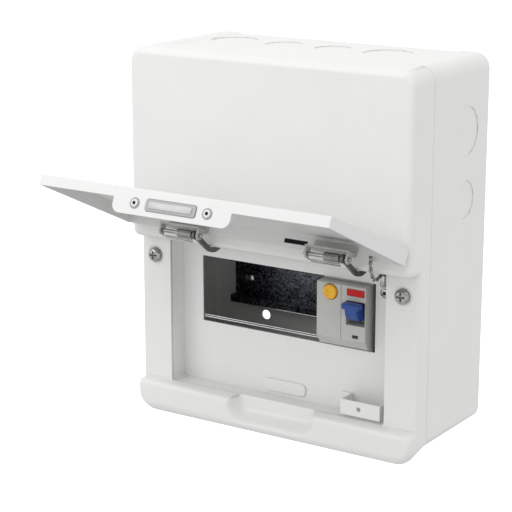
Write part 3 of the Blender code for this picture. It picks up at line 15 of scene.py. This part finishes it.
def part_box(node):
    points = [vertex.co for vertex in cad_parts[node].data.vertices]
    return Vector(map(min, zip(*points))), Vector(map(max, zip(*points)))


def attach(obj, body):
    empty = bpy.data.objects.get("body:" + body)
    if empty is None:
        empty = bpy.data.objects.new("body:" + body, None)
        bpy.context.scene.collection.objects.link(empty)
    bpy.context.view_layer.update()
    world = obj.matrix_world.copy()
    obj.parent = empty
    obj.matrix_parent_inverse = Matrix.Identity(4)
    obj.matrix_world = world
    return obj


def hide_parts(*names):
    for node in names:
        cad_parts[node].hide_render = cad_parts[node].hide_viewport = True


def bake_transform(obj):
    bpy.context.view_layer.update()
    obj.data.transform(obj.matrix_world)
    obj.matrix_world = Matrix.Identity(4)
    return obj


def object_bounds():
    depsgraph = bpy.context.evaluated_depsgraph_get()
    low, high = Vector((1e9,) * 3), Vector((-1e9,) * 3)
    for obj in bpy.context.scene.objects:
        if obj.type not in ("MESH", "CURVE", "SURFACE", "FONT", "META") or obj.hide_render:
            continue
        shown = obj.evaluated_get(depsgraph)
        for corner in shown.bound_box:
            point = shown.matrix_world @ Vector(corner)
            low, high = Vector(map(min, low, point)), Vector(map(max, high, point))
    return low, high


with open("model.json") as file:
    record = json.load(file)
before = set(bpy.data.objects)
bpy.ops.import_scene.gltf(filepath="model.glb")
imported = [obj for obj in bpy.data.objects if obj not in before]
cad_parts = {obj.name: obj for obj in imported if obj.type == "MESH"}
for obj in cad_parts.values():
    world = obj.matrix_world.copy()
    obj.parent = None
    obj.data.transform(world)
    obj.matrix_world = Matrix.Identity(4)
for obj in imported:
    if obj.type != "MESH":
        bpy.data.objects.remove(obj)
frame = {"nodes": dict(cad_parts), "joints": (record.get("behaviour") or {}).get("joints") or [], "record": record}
cad_low, cad_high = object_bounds()

BODY_OF = {node: body for body, nodes in frame["record"]["behaviour"]["bodies"].items() for node in nodes}
JOINTS = {joint["name"]: joint for joint in frame["joints"]}

# ---- camera and light ------------------------------------------------------------------------
CAMERA_AZIMUTH = 33.35
CAMERA_ELEVATION = 14.50
CAMERA_DISTANCE = 1.0996
CAMERA_TARGET = Vector((-0.0044, -0.1031, -0.0044))
LENS = 121.6
SENSOR_WIDTH = 36.0
FLOOR_DROP = 0.30
FLOOR_SIZE = 20.0
WORLD_STRENGTH = 1.0
WORLD_LOW = 0.66
WORLD_LEVEL = 0.97
WORLD_HIGH = 1.10
KEY_LIGHT = dict(azimuth=-28, elevation=32, distance=0.95, size=0.6, watts=1.9)
TOP_LIGHT = dict(azimuth=-10, elevation=78, distance=1.4, size=1.0, watts=1.2)
FLOOR_GLOW = 0.35

MM = 0.001

# ---- mesh finishing --------------------------------------------------------------------------
WELD_DISTANCE = 2e-6
FLAT_ANGLE = 0.05
FACE_LIFT = 0.00005
GRAZING = 0.02
FLAT_FACE_WEIGHT = 80

# ---- catch bar, aperture highlight lines (painted) and flange slot inserts (painted shade) ----
BAR_HALF_LENGTH = 15.6 * MM
BAR_HALF_WIDTH = 2.3 * MM
BAR_CORNER = 0.9 * MM
BAR_STEPS = ((0.0, -0.25 * MM), (0.0, 0.18 * MM), (0.14 * MM, 0.38 * MM), (0.45 * MM, 0.55 * MM))
STRIP_LEFT_X = -65.8 * MM
STRIP_END_GAP = 1.2 * MM
STRIP_BEHIND_LUG = 1.6 * MM
STRIPS = (("upper", -60.3 * MM, 0.30 * MM), ("lower", -61.6 * MM, 0.35 * MM))
SLOTS = (("wide", 0.018, 0.035), ("narrow", 0.0608, 0.0632))
SLOT_FACE = -0.0106 - 0.0006
SLOT_CENTRE_Y = 0.0004
SLOT_HEIGHT = 0.0026
SLOT_THICKNESS = 0.0007
SLOT_END_PLAY = 0.0001
SLOT_ROUNDING = 0.00015

# ---- rail edges (painted highlights), springs and strap ---------------------------------------
RAIL_EDGE_RADIUS = 0.42 * MM
RAIL_EDGE_INSET = 0.35 * MM
RAIL_EDGE_PROUD = 0.12 * MM
SPRING_WIRE = 0.42 * MM
SPRING_COIL_LENGTH = 11.5 * MM
SPRING_TURNS = 12
SPRING_SIDES = 16
STRAND_RADIUS = 0.66 * MM
STRAND_OFFSET = 0.62 * MM
STRAP_TWISTS = 4.0


def depth_drop(x, depth, drop):
    """Point at a depth behind the cover's front and a drop below the box's top."""
    return (x, depth - 0.100, 0.122 - drop)


STRAP_START = depth_drop(0.0740, 0.0239, 0.1336)
STRAP_MIDDLE = (
    depth_drop(0.0744, 0.0231, 0.1312), depth_drop(0.0752, 0.0189, 0.1310), depth_drop(0.0768, 0.0120,
                                                                                       0.1322),
    depth_drop(0.0785, 0.0040, 0.1315), depth_drop(0.0805, -0.0030, 0.1275), depth_drop(0.0822, -0.0083,
                                                                                        0.1215),
    depth_drop(0.0826, -0.0095, 0.1165),
)
STRAP_END = depth_drop(0.0826, -0.0089, 0.1130)


def direction_from(azimuth, elevation):
    a, e = math.radians(azimuth), math.radians(elevation)
    return Vector((math.sin(a) * math.cos(e), -math.cos(a) * math.cos(e), math.sin(e)))


def build_camera():
    back = direction_from(CAMERA_AZIMUTH, CAMERA_ELEVATION)
    data = bpy.data.cameras.new("camera")
    data.lens = LENS
    data.sensor_width = SENSOR_WIDTH
    data.clip_start = 0.01
    data.clip_end = 100.0
    camera = bpy.data.objects.new("camera", data)
    camera.location = CAMERA_TARGET + back * CAMERA_DISTANCE
    camera.rotation_mode = "QUATERNION"
    camera.rotation_quaternion = (-back).to_track_quat("-Z", "Y")
    bpy.context.scene.collection.objects.link(camera)
    bpy.context.scene.camera = camera


def area_light(name, azimuth, elevation, distance, size, watts):
    data = bpy.data.lights.new(name, "AREA")
    data.shape = "SQUARE"
    data.size = size
    data.energy = watts
    light = bpy.data.objects.new(name, data)
    back = direction_from(azimuth, elevation)
    light.location = back * distance
    light.rotation_mode = "QUATERNION"
    light.rotation_quaternion = (-back).to_track_quat("-Z", "Y")
    bpy.context.scene.collection.objects.link(light)


def build_studio():
    world = bpy.data.worlds.new("studio")
    world.use_nodes = True
    tree = world.node_tree
    background = tree.nodes["Background"]
    background.inputs["Strength"].default_value = WORLD_STRENGTH
    place = add_node(tree, "ShaderNodeTexCoord").outputs["Generated"]
    height = add_node(tree, "ShaderNodeSeparateXYZ", [("Vector", place)]).outputs["Z"]
    sky = add_node(tree, "ShaderNodeMapRange", [("Value", height)], From_Min=-1.0, From_Max=1.0)
    ramp = add_node(tree, "ShaderNodeValToRGB", [("Fac", sky.outputs["Result"])])
    ramp.color_ramp.elements[0].color = (*(WORLD_LOW,) * 3, 1.0)
    ramp.color_ramp.elements[1].color = (*(WORLD_HIGH,) * 3, 1.0)
    ramp.color_ramp.elements.new(0.5).color = (*(WORLD_LEVEL,) * 3, 1.0)
    tree.links.new(ramp.outputs["Color"], background.inputs["Color"])
    bpy.context.scene.world = world
    area_light("key", **KEY_LIGHT)
    area_light("top", **TOP_LIGHT)
    bm = bmesh.new()
    bmesh.ops.create_grid(bm, x_segments=1, y_segments=1, size=FLOOR_SIZE)
    floor = bpy.data.objects.new("floor", mesh_from(bm, "floor"))
    floor.location = (0.0, 0.0, cad_low.z - FLOOR_DROP)
    bpy.context.scene.collection.objects.link(floor)
    floor.visible_diffuse = False
    floor.visible_glossy = False
    floor.data.materials.append(surface("floor_white", (1.0, 1.0, 1.0), 0.9, drift=0.002, grain=0.0,
                                        glow=FLOOR_GLOW))
    view = bpy.context.scene.view_settings
    view.view_transform = "Standard"
    view.look = "None"


# ---- materials -------------------------------------------------------------------------------
def add_node(tree, kind, links=(), **values):
    """One node: its attributes and input values from keywords, then its links (input, socket)."""
    node = tree.nodes.new(kind)
    for name, value in values.items():
        if hasattr(node, name):
            setattr(node, name, value)
        else:
            node.inputs[name.replace("_", " ")].default_value = value
    for name, socket in links:
        tree.links.new(socket, node.inputs[name])
    return node


def shade(colour, factor):
    return (*(min(c * factor, 1.0) for c in colour), 1.0)


def surface(name, colour, roughness, metallic=0.0, drift=0.04, rough_drift=0.06, patch=35.0,
            grain=0.00002, grain_scale=1100.0, stretch=(1.0, 1.0, 1.0), coat=0.0, cells=0.0, specks=0.0,
            glow=0.0, specular=0.5):
    """Finish whose colour and roughness drift in soft patches, over a fine grain.

    cells > 0 adds a spangle of that many cells a metre; specks > 0 darkens small spots.
    """
    mat = bpy.data.materials.new(name)
    mat.use_nodes = True
    tree = mat.node_tree
    shader = tree.nodes["Principled BSDF"]
    shader.inputs["Metallic"].default_value = metallic
    shader.inputs["Coat Weight"].default_value = coat
    shader.inputs["Specular IOR Level"].default_value = specular
    shader.inputs["Coat Roughness"].default_value = 0.25
    if glow:
        shader.inputs["Emission Color"].default_value = (*colour, 1.0)
        shader.inputs["Emission Strength"].default_value = glow
    place = add_node(tree, "ShaderNodeTexCoord").outputs["Object"]
    along = add_node(tree, "ShaderNodeMapping", [("Vector", place)]).outputs["Vector"]
    along.node.inputs["Scale"].default_value = stretch
    soft = add_node(tree, "ShaderNodeTexNoise", [("Vector", along)], Scale=patch, Detail=4.0, Roughness=0.6)
    tone = soft.outputs["Fac"]
    if cells:
        spangle = add_node(tree, "ShaderNodeTexVoronoi", [("Vector", place)], Scale=cells)
        grey = add_node(tree, "ShaderNodeRGBToBW", [("Color", spangle.outputs["Color"])]).outputs["Val"]
        tone = add_node(tree, "ShaderNodeMath", [(0, tone), (1, grey)],
                        operation="MULTIPLY_ADD").outputs["Value"]
        tone.node.inputs[2].default_value = 0.25
    ramp = add_node(tree, "ShaderNodeValToRGB", [("Fac", tone)])
    ramp.color_ramp.elements[0].position = 0.32
    ramp.color_ramp.elements[1].position = 0.68
    ramp.color_ramp.elements[0].color = shade(colour, 1.0 - drift)
    ramp.color_ramp.elements[1].color = shade(colour, 1.0 + drift)
    paint = ramp.outputs["Color"]
    if specks:
        dots = add_node(tree, "ShaderNodeTexNoise", [("Vector", place)], Scale=specks, Detail=2.0)
        spot = add_node(tree, "ShaderNodeMapRange", [("Value", dots.outputs["Fac"])], From_Min=0.60,
                        From_Max=0.72)
        mixed = add_node(tree, "ShaderNodeMix", [("Factor", spot.outputs["Result"])], data_type="RGBA")
        tree.links.new(paint, mixed.inputs[6])
        mixed.inputs[7].default_value = shade(colour, 0.45)
        paint = mixed.outputs[2]
    tree.links.new(paint, shader.inputs["Base Color"])
    gloss = add_node(tree, "ShaderNodeMapRange", [("Value", tone)], From_Min=0.25, From_Max=0.75,
                     To_Min=roughness - rough_drift, To_Max=roughness + rough_drift)
    tree.links.new(gloss.outputs["Result"], shader.inputs["Roughness"])
    if grain:
        fine = add_node(tree, "ShaderNodeTexNoise", [("Vector", along)], Scale=grain_scale, Detail=2.0)
        bump = add_node(tree, "ShaderNodeBump", [("Height", fine.outputs["Fac"])], Distance=grain,
                        Strength=0.6)
        tree.links.new(bump.outputs["Normal"], shader.inputs["Normal"])
    return mat


def build_materials():
    """Finish of each of the record's material slots, and of the few extra ones."""
    return {
        "enclosure_white": surface("enclosure_white", (0.735, 0.735, 0.725), 0.42, drift=0.012, coat=0.15),
        "door_white": surface("door_white", (0.690, 0.690, 0.684), 0.42, drift=0.012, coat=0.15),
        # Painted shade: the inside of the white box is given a near-black colour for the shade within it.
        "interior_painted_shade": surface("interior_painted_shade", (0.0045, 0.0045, 0.0045), 0.85, drift=0.30, patch=60.0,
                                specular=0.03),
        "zinc": surface("zinc", (0.40, 0.40, 0.39), 0.17, metallic=1.0, drift=0.45, rough_drift=0.08,
                        patch=160.0,
                        grain=0.00001, grain_scale=700.0, stretch=(0.25, 1.0, 1.0)),
        "galvanised": surface("galvanised", (0.20, 0.21, 0.235), 0.34, metallic=1.0, drift=0.65,
                              rough_drift=0.12,
                              patch=160.0, cells=420.0, grain=0.00001),
        "dark_steel": surface("dark_steel", (0.150, 0.150, 0.140), 0.34, metallic=0.85, drift=0.30,
                              patch=240.0),
        "catch_grey": surface("catch_grey", (0.36, 0.36, 0.365), 0.38, drift=0.04, patch=90.0, grain=0.00003,
                              grain_scale=1700.0),
        "case_grey": surface("case_grey", (0.48, 0.48, 0.455), 0.48, specular=0.3, drift=0.03, patch=80.0,
                             grain=0.00003,
                             grain_scale=2200.0),
        "toggle_blue": surface("toggle_blue", (0.024, 0.072, 0.27), 0.36, specular=0.3, drift=0.10,
                               patch=150.0, grain=0.00002,
                               grain_scale=1800.0),
        "button_yellow": surface("button_yellow", (0.80, 0.42, 0.030), 0.40, specular=0.3, drift=0.16,
                                 patch=420.0, specks=900.0,
                                 grain=0.00002, grain_scale=1800.0),
        "label_red": surface("label_red", (0.52, 0.018, 0.018), 0.55, specular=0.2, drift=0.08, patch=300.0),
        "black_plastic": surface("black_plastic", (0.016, 0.016, 0.017), 0.48, drift=0.20, patch=120.0,
                                 grain=0.00003, grain_scale=1800.0),
        "brass": surface("brass", (0.62, 0.45, 0.20), 0.30, metallic=1.0, drift=0.12, patch=180.0,
                         stretch=(0.2, 1.0, 1.0)),
        "strap_wire": surface("strap_wire", (0.30, 0.29, 0.27), 0.20, metallic=1.0, drift=0.60, patch=500.0),
        # Painted shade: a near-black finish for discs and inserts put into hollows and slots where there is only
        # shade.
        "painted_shade_black": surface("painted_shade_black", (0.010, 0.010, 0.010), 0.60, drift=0.20, patch=300.0,
                              specular=0.1),
        # Painted dark reflection: the rail's shiny zinc gets a near-black base colour for the dark box inside that
        # it reflects, over its real spangle.
        "rail_spangle_dark_reflection": surface("rail_spangle_dark_reflection", (0.085, 0.09, 0.105), 0.30, metallic=1.0, drift=0.80,
                              rough_drift=0.10,
                              patch=220.0, cells=900.0, grain=0.00001),
        "plate_grey": surface("plate_grey", (0.46, 0.46, 0.45), 0.36, metallic=0.25, drift=0.08, patch=200.0),
        # Painted highlight: a bright metal for thin wires that stand for highlights on edges.
        "painted_highlight_metal": surface("painted_highlight_metal", (0.72, 0.72, 0.72), 0.25, metallic=1.0, drift=0.10,
                               patch=200.0),
    }


# ---- mesh helpers ----------------------------------------------------------------------------
def mesh_from(bm, name):
    mesh = bpy.data.meshes.new(name)
    bm.to_mesh(mesh)
    bm.free()
    return mesh


def add_piece(bm, name, mat, body, sharp=35.0):
    """A new smooth-shaded piece that rides on a body, or on none."""
    bmesh.ops.recalc_face_normals(bm, faces=bm.faces)
    mesh = mesh_from(bm, name)
    mesh.materials.append(mat)
    mesh.shade_smooth()
    mesh.set_sharp_from_angle(angle=math.radians(sharp))
    piece = bpy.data.objects.new(name, mesh)
    bpy.context.scene.collection.objects.link(piece)
    if body:
        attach(piece, body)
    return piece


def frames_along(path):
    """(point, side, up) at each point of a path, carried along without twist."""
    result = []
    side = None
    for i, point in enumerate(path):
        ahead = (path[min(i + 1, len(path) - 1)] - path[max(i - 1, 0)]).normalized()
        if side is None:
            side = ahead.orthogonal().normalized()
        side = (side - ahead * side.dot(ahead)).normalized()
        result.append((point, side, ahead.cross(side)))
    return result


def sweep(bm, path, radius, sides=10):
    """Round wire along a path, closed by flat ends."""
    rings = []
    for point, side, up in frames_along(path):
        ring = []
        for k in range(sides):
            angle = 2 * math.pi * k / sides
            ring.append(bm.verts.new(point + (side * math.cos(angle) + up * math.sin(angle)) * radius))
        rings.append(ring)
    for first, second in zip(rings, rings[1:]):
        for k in range(sides):
            bm.faces.new((first[k], first[(k + 1) % sides], second[(k + 1) % sides], second[k]))
    bm.faces.new(rings[0][::-1])
    bm.faces.new(rings[-1])


def revolve(bm, profile, origin, axis, sides=40):
    """Closed turned shape from a profile of (along axis, radius).

    The profile starts and ends on the axis, or closes on itself.
    """
    axis = axis.normalized()
    side = axis.orthogonal().normalized()
    up = axis.cross(side)
    rings = []
    for along, radius in profile:
        centre = origin + axis * along
        if radius == 0.0:
            rings.append([bm.verts.new(centre)])
            continue
        rings.append([bm.verts.new(centre + (side * math.cos(2 * math.pi * k / sides)
                                             + up * math.sin(2 * math.pi * k / sides)) * radius)
                      for k in range(sides)])
    for first, second in zip(rings, rings[1:]):
        for k in range(sides):
            j = (k + 1) % sides
            quad = [first[k % len(first)], first[j % len(first)], second[j % len(second)],
                    second[k % len(second)]]
            unique = list(dict.fromkeys(quad))
            if len(unique) > 2:
                bm.faces.new(unique)


def catmull(points, per_span):
    """Smooth curve through the points."""
    knots = [2 * points[0] - points[1], *points, 2 * points[-1] - points[-2]]
    path = []
    for p0, p1, p2, p3 in zip(knots, knots[1:], knots[2:], knots[3:]):
        for k in range(per_span):
            t = k / per_span
            path.append(0.5 * (2 * p1 + (p2 - p0) * t + (2 * p0 - 5 * p1 + 4 * p2 - p3) * t * t
                               + (3 * p1 - p0 - 3 * p2 + p3) * t ** 3))
    path.append(points[-1])
    return path


def finished(node, mat, bevel=0.0, angle=30.0, inside=None):
    """The CAD node's shape as one welded mesh with smooth faces and, if asked, small rounded edges.

    inside is a second material, a near-black painted shade, for the faces that no outside view reaches,
    and for the tray's inward faces.
    """
    bm = bmesh.new()
    bm.from_mesh(frame["nodes"][node].data)
    bmesh.ops.remove_doubles(bm, verts=bm.verts, dist=WELD_DISTANCE)
    if bevel:
        bmesh.ops.dissolve_limit(bm, angle_limit=math.radians(FLAT_ANGLE), verts=bm.verts, edges=bm.edges)
    if inside:
        for face in hidden_faces(bm) + (inward_faces(bm) if node == "base_box" else []):
            face.material_index = 1
    mesh = mesh_from(bm, f"{node}.finished")
    mesh.materials.clear()
    mesh.materials.append(mat)
    if inside:
        mesh.materials.append(inside)
    mesh.shade_smooth()
    piece = bpy.data.objects.new(f"{node}.finished", mesh)
    bpy.context.scene.collection.objects.link(piece)
    if bevel:
        rounding = piece.modifiers.new("edges", "BEVEL")
        rounding.width = bevel
        rounding.segments = 2
        rounding.limit_method = "ANGLE"
        rounding.angle_limit = math.radians(angle)
        rounding.use_clamp_overlap = True
    mesh.set_sharp_from_angle(angle=math.radians(angle))
    weighted = piece.modifiers.new("flat_faces", "WEIGHTED_NORMAL")
    weighted.keep_sharp = not bevel
    weighted.weight = FLAT_FACE_WEIGHT
    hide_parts(node)
    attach(piece, BODY_OF[node])
    return piece


def hidden_faces(bm):
    """Faces that look only into the closed box: no way out to the front, the sides, above or below."""
    outlook = [direction_from(a, e) for a in (-75, -40, 0, 40, 75) for e in (-60, -30, -10, 10, 30, 60)]
    outlook += [Vector(v) for v in ((1, 0, 0), (-1, 0, 0), (0, 0, 1), (0, 0, -1), (0, 1, 0))]
    walls = [shell_tree("front_cover"), shell_tree("base_box")]
    hidden = []
    for face in bm.faces:
        start = face.calc_center_median() + face.normal * FACE_LIFT
        ways = 0
        for direction in outlook:
            if direction.dot(face.normal) <= GRAZING:
                continue
            if all(tree.ray_cast(start, direction)[0] is None for tree in walls):
                ways += 1
        if ways == 0:
            hidden.append(face)
    return hidden


def inward_faces(bm):
    """Faces of the tray that look towards its middle."""
    middle = (Vector(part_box("base_box")[0]) + Vector(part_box("base_box")[1])) / 2
    return [face for face in bm.faces if face.normal.dot(face.calc_center_median() - middle) < 0]


SHELL_TREES = {}


def shell_tree(node):
    if node not in SHELL_TREES:
        bm = bmesh.new()
        bm.from_mesh(frame["nodes"][node].data)
        SHELL_TREES[node] = BVHTree.FromBMesh(bm)
        bm.free()
    return SHELL_TREES[node]


# ---- pieces ----------------------------------------------------------------------------------
BEVELS = {
    "door_panel": 0.00035, "magnet_catch": 0.0004, "lock_bracket": 0.00025, "keeper_plate": 0.0002,
    "hinge_plate_left": 0.0002, "hinge_plate_right": 0.0002, "hinge_arm_left": 0.00035,
    "hinge_arm_right": 0.00035,
    "hinge_bracket_left": 0.0002, "hinge_bracket_right": 0.0002, "rcd_case": 0.00035, "rcd_toggle": 0.0005,
    "rcd_test_button": 0.0004, "rcd_rail_clip": 0.0002, "din_rail": 0.0002, "rail_support_left": 0.0002,
    "rail_support_right": 0.0002, "cover_post_left": 0.0002, "cover_post_right": 0.0002,
    "neutral_bar_carrier": 0.0003, "earth_bar_carrier": 0.0003,
}
# The rail takes the finish with the painted dark reflection.
FINISH_OF = {"din_rail": "rail_spangle_dark_reflection", "hinge_plate_left": "plate_grey", "hinge_plate_right": "plate_grey"}
OWN_SHAPE = ("earth_strap", "hinge_spring_left", "hinge_spring_right")


def build_pieces(mats):
    slots = {p["node"]: p["material_slot"] for p in frame["record"]["subparts"]}
    for node in frame["nodes"]:
        if node in OWN_SHAPE:
            continue
        # Painted shade: the faces inside the box and cover get the near-black material.
        inside = mats["interior_painted_shade"] if node in ("base_box", "front_cover") else None
        finish = FINISH_OF.get(node, slots[node])
        piece = finished(node, mats[finish], BEVELS.get(node, 0.0), inside=inside)


def box_centre(node):
    low, high = (Vector(v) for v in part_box(node))
    return (low + high) / 2, low, high


def build_screw_dimples(mats):
    """Shallow pressed ring round each cover screw."""
    for side in ("left", "right"):
        centre, low, high = box_centre(f"cover_screw_{side}")
        face = low.y + 3.7 * MM
        profile = [(0.4 * MM, 5.6 * MM), (-0.02 * MM, 5.7 * MM), (-0.22 * MM, 6.4 * MM), (-0.26 * MM,
                                                                                          7.1 * MM),
                   (-0.16 * MM, 7.8 * MM), (0.02 * MM, 8.6 * MM), (0.4 * MM, 8.6 * MM), (0.4 * MM, 5.6 * MM)]
        bm = bmesh.new()
        revolve(bm, profile, Vector((centre.x, face, centre.z)), Vector((0, 1, 0)), 56)
        add_piece(bm, f"screw_dimple_{side}", mats["enclosure_white"], "enclosure", 60.0)


def build_rail_edge_highlights(mats):
    """Painted highlights: bright wires along the edges of the rail's two lips."""
    low, high = box_centre("din_rail")[1:]
    for name, z in (("upper", high.z), ("lower", low.z)):
        inward = -1.0 if name == "upper" else 1.0
        bm = bmesh.new()
        path = [Vector((low.x + (high.x - low.x) * i / 24, low.y - RAIL_EDGE_PROUD,
                        z + inward * RAIL_EDGE_INSET)) for i in range(25)]
        sweep(bm, path, RAIL_EDGE_RADIUS, 8)
        add_piece(bm, f"rail_edge_{name}", mats["painted_highlight_metal"], "enclosure", 60.0)


def build_rivet_bores(mats):
    """Dark discs of painted shade in the hollow middle of each tubular rivet, on the door's pull tab and the earth
    lug.
    """
    down = door_down()
    for side in ("left", "right"):
        spot = outermost(f"catch_rivet_{side}", down)
        bm = bmesh.new()
        revolve(bm, [(-1.0 * MM, 0.0), (-1.0 * MM, 0.80 * MM), (-0.12 * MM, 0.95 * MM), (-0.08 * MM,
                                                                                         0.60 * MM),
                     (-0.20 * MM, 0.0)], spot, down, 24)
        add_piece(bm, f"catch_rivet_bore_{side}", mats["painted_shade_black"], "door", 50.0)
        bm = bmesh.new()
        revolve(bm, [(-0.9 * MM, 2.75 * MM), (-0.72 * MM, 3.15 * MM), (-0.90 * MM, 3.45 * MM),
                     (-1.3 * MM, 3.45 * MM), (-1.3 * MM, 2.75 * MM), (-0.9 * MM, 2.75 * MM)], spot, down, 32)
        add_piece(bm, f"catch_rivet_seat_{side}", mats["catch_grey"], "door", 50.0)
    ring = outermost("earth_lug_rivet", Vector((0, -1, 0)))
    bm = bmesh.new()
    revolve(bm, [(-1.0 * MM, 0.0), (-1.0 * MM, 1.0 * MM), (-0.10 * MM, 1.15 * MM), (-0.06 * MM, 0.7 * MM),
                 (-0.20 * MM, 0.0)], ring, Vector((0, -1, 0)), 24)
    add_piece(bm, "earth_lug_bore", mats["painted_shade_black"], "enclosure", 50.0)


def build_catch_bar(mats):
    """Raised bar on the catch's face, with rounded long edges."""
    centre = box_centre("magnet_catch")[0]
    down = door_down()
    spot = outermost("magnet_catch", down)
    across = down.cross(Vector((1, 0, 0))).normalized()
    outline = []
    for cx, cy, start in ((1, 1, 0), (-1, 1, 90), (-1, -1, 180), (1, -1, 270)):
        for k in range(6):
            angle = math.radians(start + 18 * k)
            outline.append((cx * (BAR_HALF_LENGTH - BAR_CORNER) + BAR_CORNER * math.cos(angle),
                            cy * (BAR_HALF_WIDTH - BAR_CORNER) + BAR_CORNER * math.sin(angle)))
    bm = bmesh.new()
    rings = []
    for inset, height in BAR_STEPS:
        ring = []
        for x, w in outline:
            x -= math.copysign(min(abs(x), inset), x)
            w -= math.copysign(min(abs(w), inset), w)
            ring.append(bm.verts.new(Vector((centre.x + x, spot.y, spot.z)) + across * w + down * height))
        rings.append(ring)
    for first, second in zip(rings, rings[1:]):
        for k in range(len(first)):
            j = (k + 1) % len(first)
            bm.faces.new((first[k], first[j], second[j], second[k]))
    bm.faces.new(rings[-1])
    bm.faces.new(rings[0][::-1])
    add_piece(bm, "magnet_catch_bar", mats["plate_grey"], "door", 40.0)


def build_aperture_highlights(mats):
    """Two thin bright lines, painted highlights, behind the aperture's lower edge. They touch no other piece."""
    length = box_centre("rcd_case")[1].x - STRIP_END_GAP - STRIP_LEFT_X
    y = box_centre("earth_lug")[2].y + STRIP_BEHIND_LUG
    for name, z, radius in STRIPS:
        path = [Vector((STRIP_LEFT_X + length * i / 20, y, z)) for i in range(21)]
        bm = bmesh.new()
        sweep(bm, path, radius, 8)
        add_piece(bm, f"aperture_strip_{name}", mats["painted_highlight_metal"], "enclosure", 60.0)


def build_slot_shades(mats):
    """Dark inserts of painted shade that stand for two slots in the door's hinge flange."""
    pivot = Vector(JOINTS["door_hinge"]["pos_m"])
    turn = Matrix.Rotation(math.radians(JOINTS["door_hinge"]["range_deg"][0]), 4, "X")
    for name, x0, x1 in SLOTS:
        bm = bmesh.new()
        bmesh.ops.create_cube(bm, size=1.0)
        for v in bm.verts:
            local = Vector(((x0 + x1) / 2 + v.co.x * (x1 - x0 - SLOT_END_PLAY),
                            SLOT_CENTRE_Y + v.co.y * SLOT_HEIGHT,
                            SLOT_FACE + v.co.z * SLOT_THICKNESS))
            v.co = pivot + turn @ local
        bmesh.ops.bevel(bm, geom=bm.edges[:], offset=SLOT_ROUNDING, segments=2, affect="EDGES")
        add_piece(bm, f"flange_slot_{name}", mats["painted_shade_black"], "door", 40.0)


def door_down():
    """Direction that the free-edge flange of the open door faces."""
    turned_by = math.radians(-JOINTS["door_hinge"]["range_deg"][0])
    return Vector((0.0, -math.sin(turned_by), -math.cos(turned_by)))


def outermost(node, direction):
    """Middle of the node's face that lies furthest along the direction."""
    points = [v.co for v in frame["nodes"][node].data.vertices]
    reach = max(p.dot(direction) for p in points)
    middle = sum(points, Vector()) / len(points)
    return middle + direction * (reach - middle.dot(direction))


def build_springs(mats):
    """Each hinge's coil, round its rod, and the two straight legs under it."""
    for side in ("left", "right"):
        node = f"hinge_spring_{side}"
        centre, low, high = box_centre(node)
        radius = (high.z - low.z) / 2 - SPRING_WIRE
        start = high.x - SPRING_COIL_LENGTH
        steps = SPRING_TURNS * SPRING_SIDES
        path = []
        for i in range(steps + 1):
            angle = 2 * math.pi * i / SPRING_SIDES
            x = start + (high.x - start - SPRING_WIRE) * i / steps
            path.append(Vector((x, centre.y + radius * math.cos(angle), centre.z + radius * math.sin(angle))))
        bm = bmesh.new()
        sweep(bm, path, SPRING_WIRE, 8)
        for drop, ahead, x0 in ((3.1, -1.6, low.x - 2.0 * MM), (4.6, -0.6, low.x)):
            y, z = centre.y + ahead * MM, centre.z - drop * MM
            leg = [Vector((x0, y, z + 0.5 * MM)), Vector((x0 + 1.5 * MM, y, z)), Vector((centre.x, y, z)),
                   Vector((high.x - 1.0 * MM, y, z)), Vector((high.x, y + 0.2 * MM, z + 0.4 * MM))]
            sweep(bm, catmull(leg, 6), SPRING_WIRE * 1.1, 8)
        coil = add_piece(bm, f"{node}.coil", mats["zinc"], BODY_OF[node], 60.0)
        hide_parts(node)


def build_strap(mats):
    """Two wires twisted round each other, from the lug's barrel to just short of the door."""
    start = Vector(STRAP_START)
    end = Vector(STRAP_END)
    middle = [Vector(p) for p in STRAP_MIDDLE]
    path = catmull([start, *middle, end], 12)
    bm = bmesh.new()
    for phase in (0.0, math.pi):
        strand = []
        for i, (point, side, up) in enumerate(frames_along(path)):
            angle = phase + 2 * math.pi * STRAP_TWISTS * i / (len(path) - 1)
            strand.append(point + (side * math.cos(angle) + up * math.sin(angle)) * STRAND_OFFSET)
        sweep(bm, strand, STRAND_RADIUS, 10)
    piece = add_piece(bm, "earth_strap.twisted", mats["strap_wire"], None, 70.0)
    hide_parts("earth_strap")
    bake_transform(piece)


build_camera()
finishes = build_materials()
build_pieces(finishes)
build_screw_dimples(finishes)
build_springs(finishes)
build_rail_edge_highlights(finishes)
build_rivet_bores(finishes)
build_catch_bar(finishes)
build_aperture_highlights(finishes)
build_slot_shades(finishes)
build_strap(finishes)
build_studio()
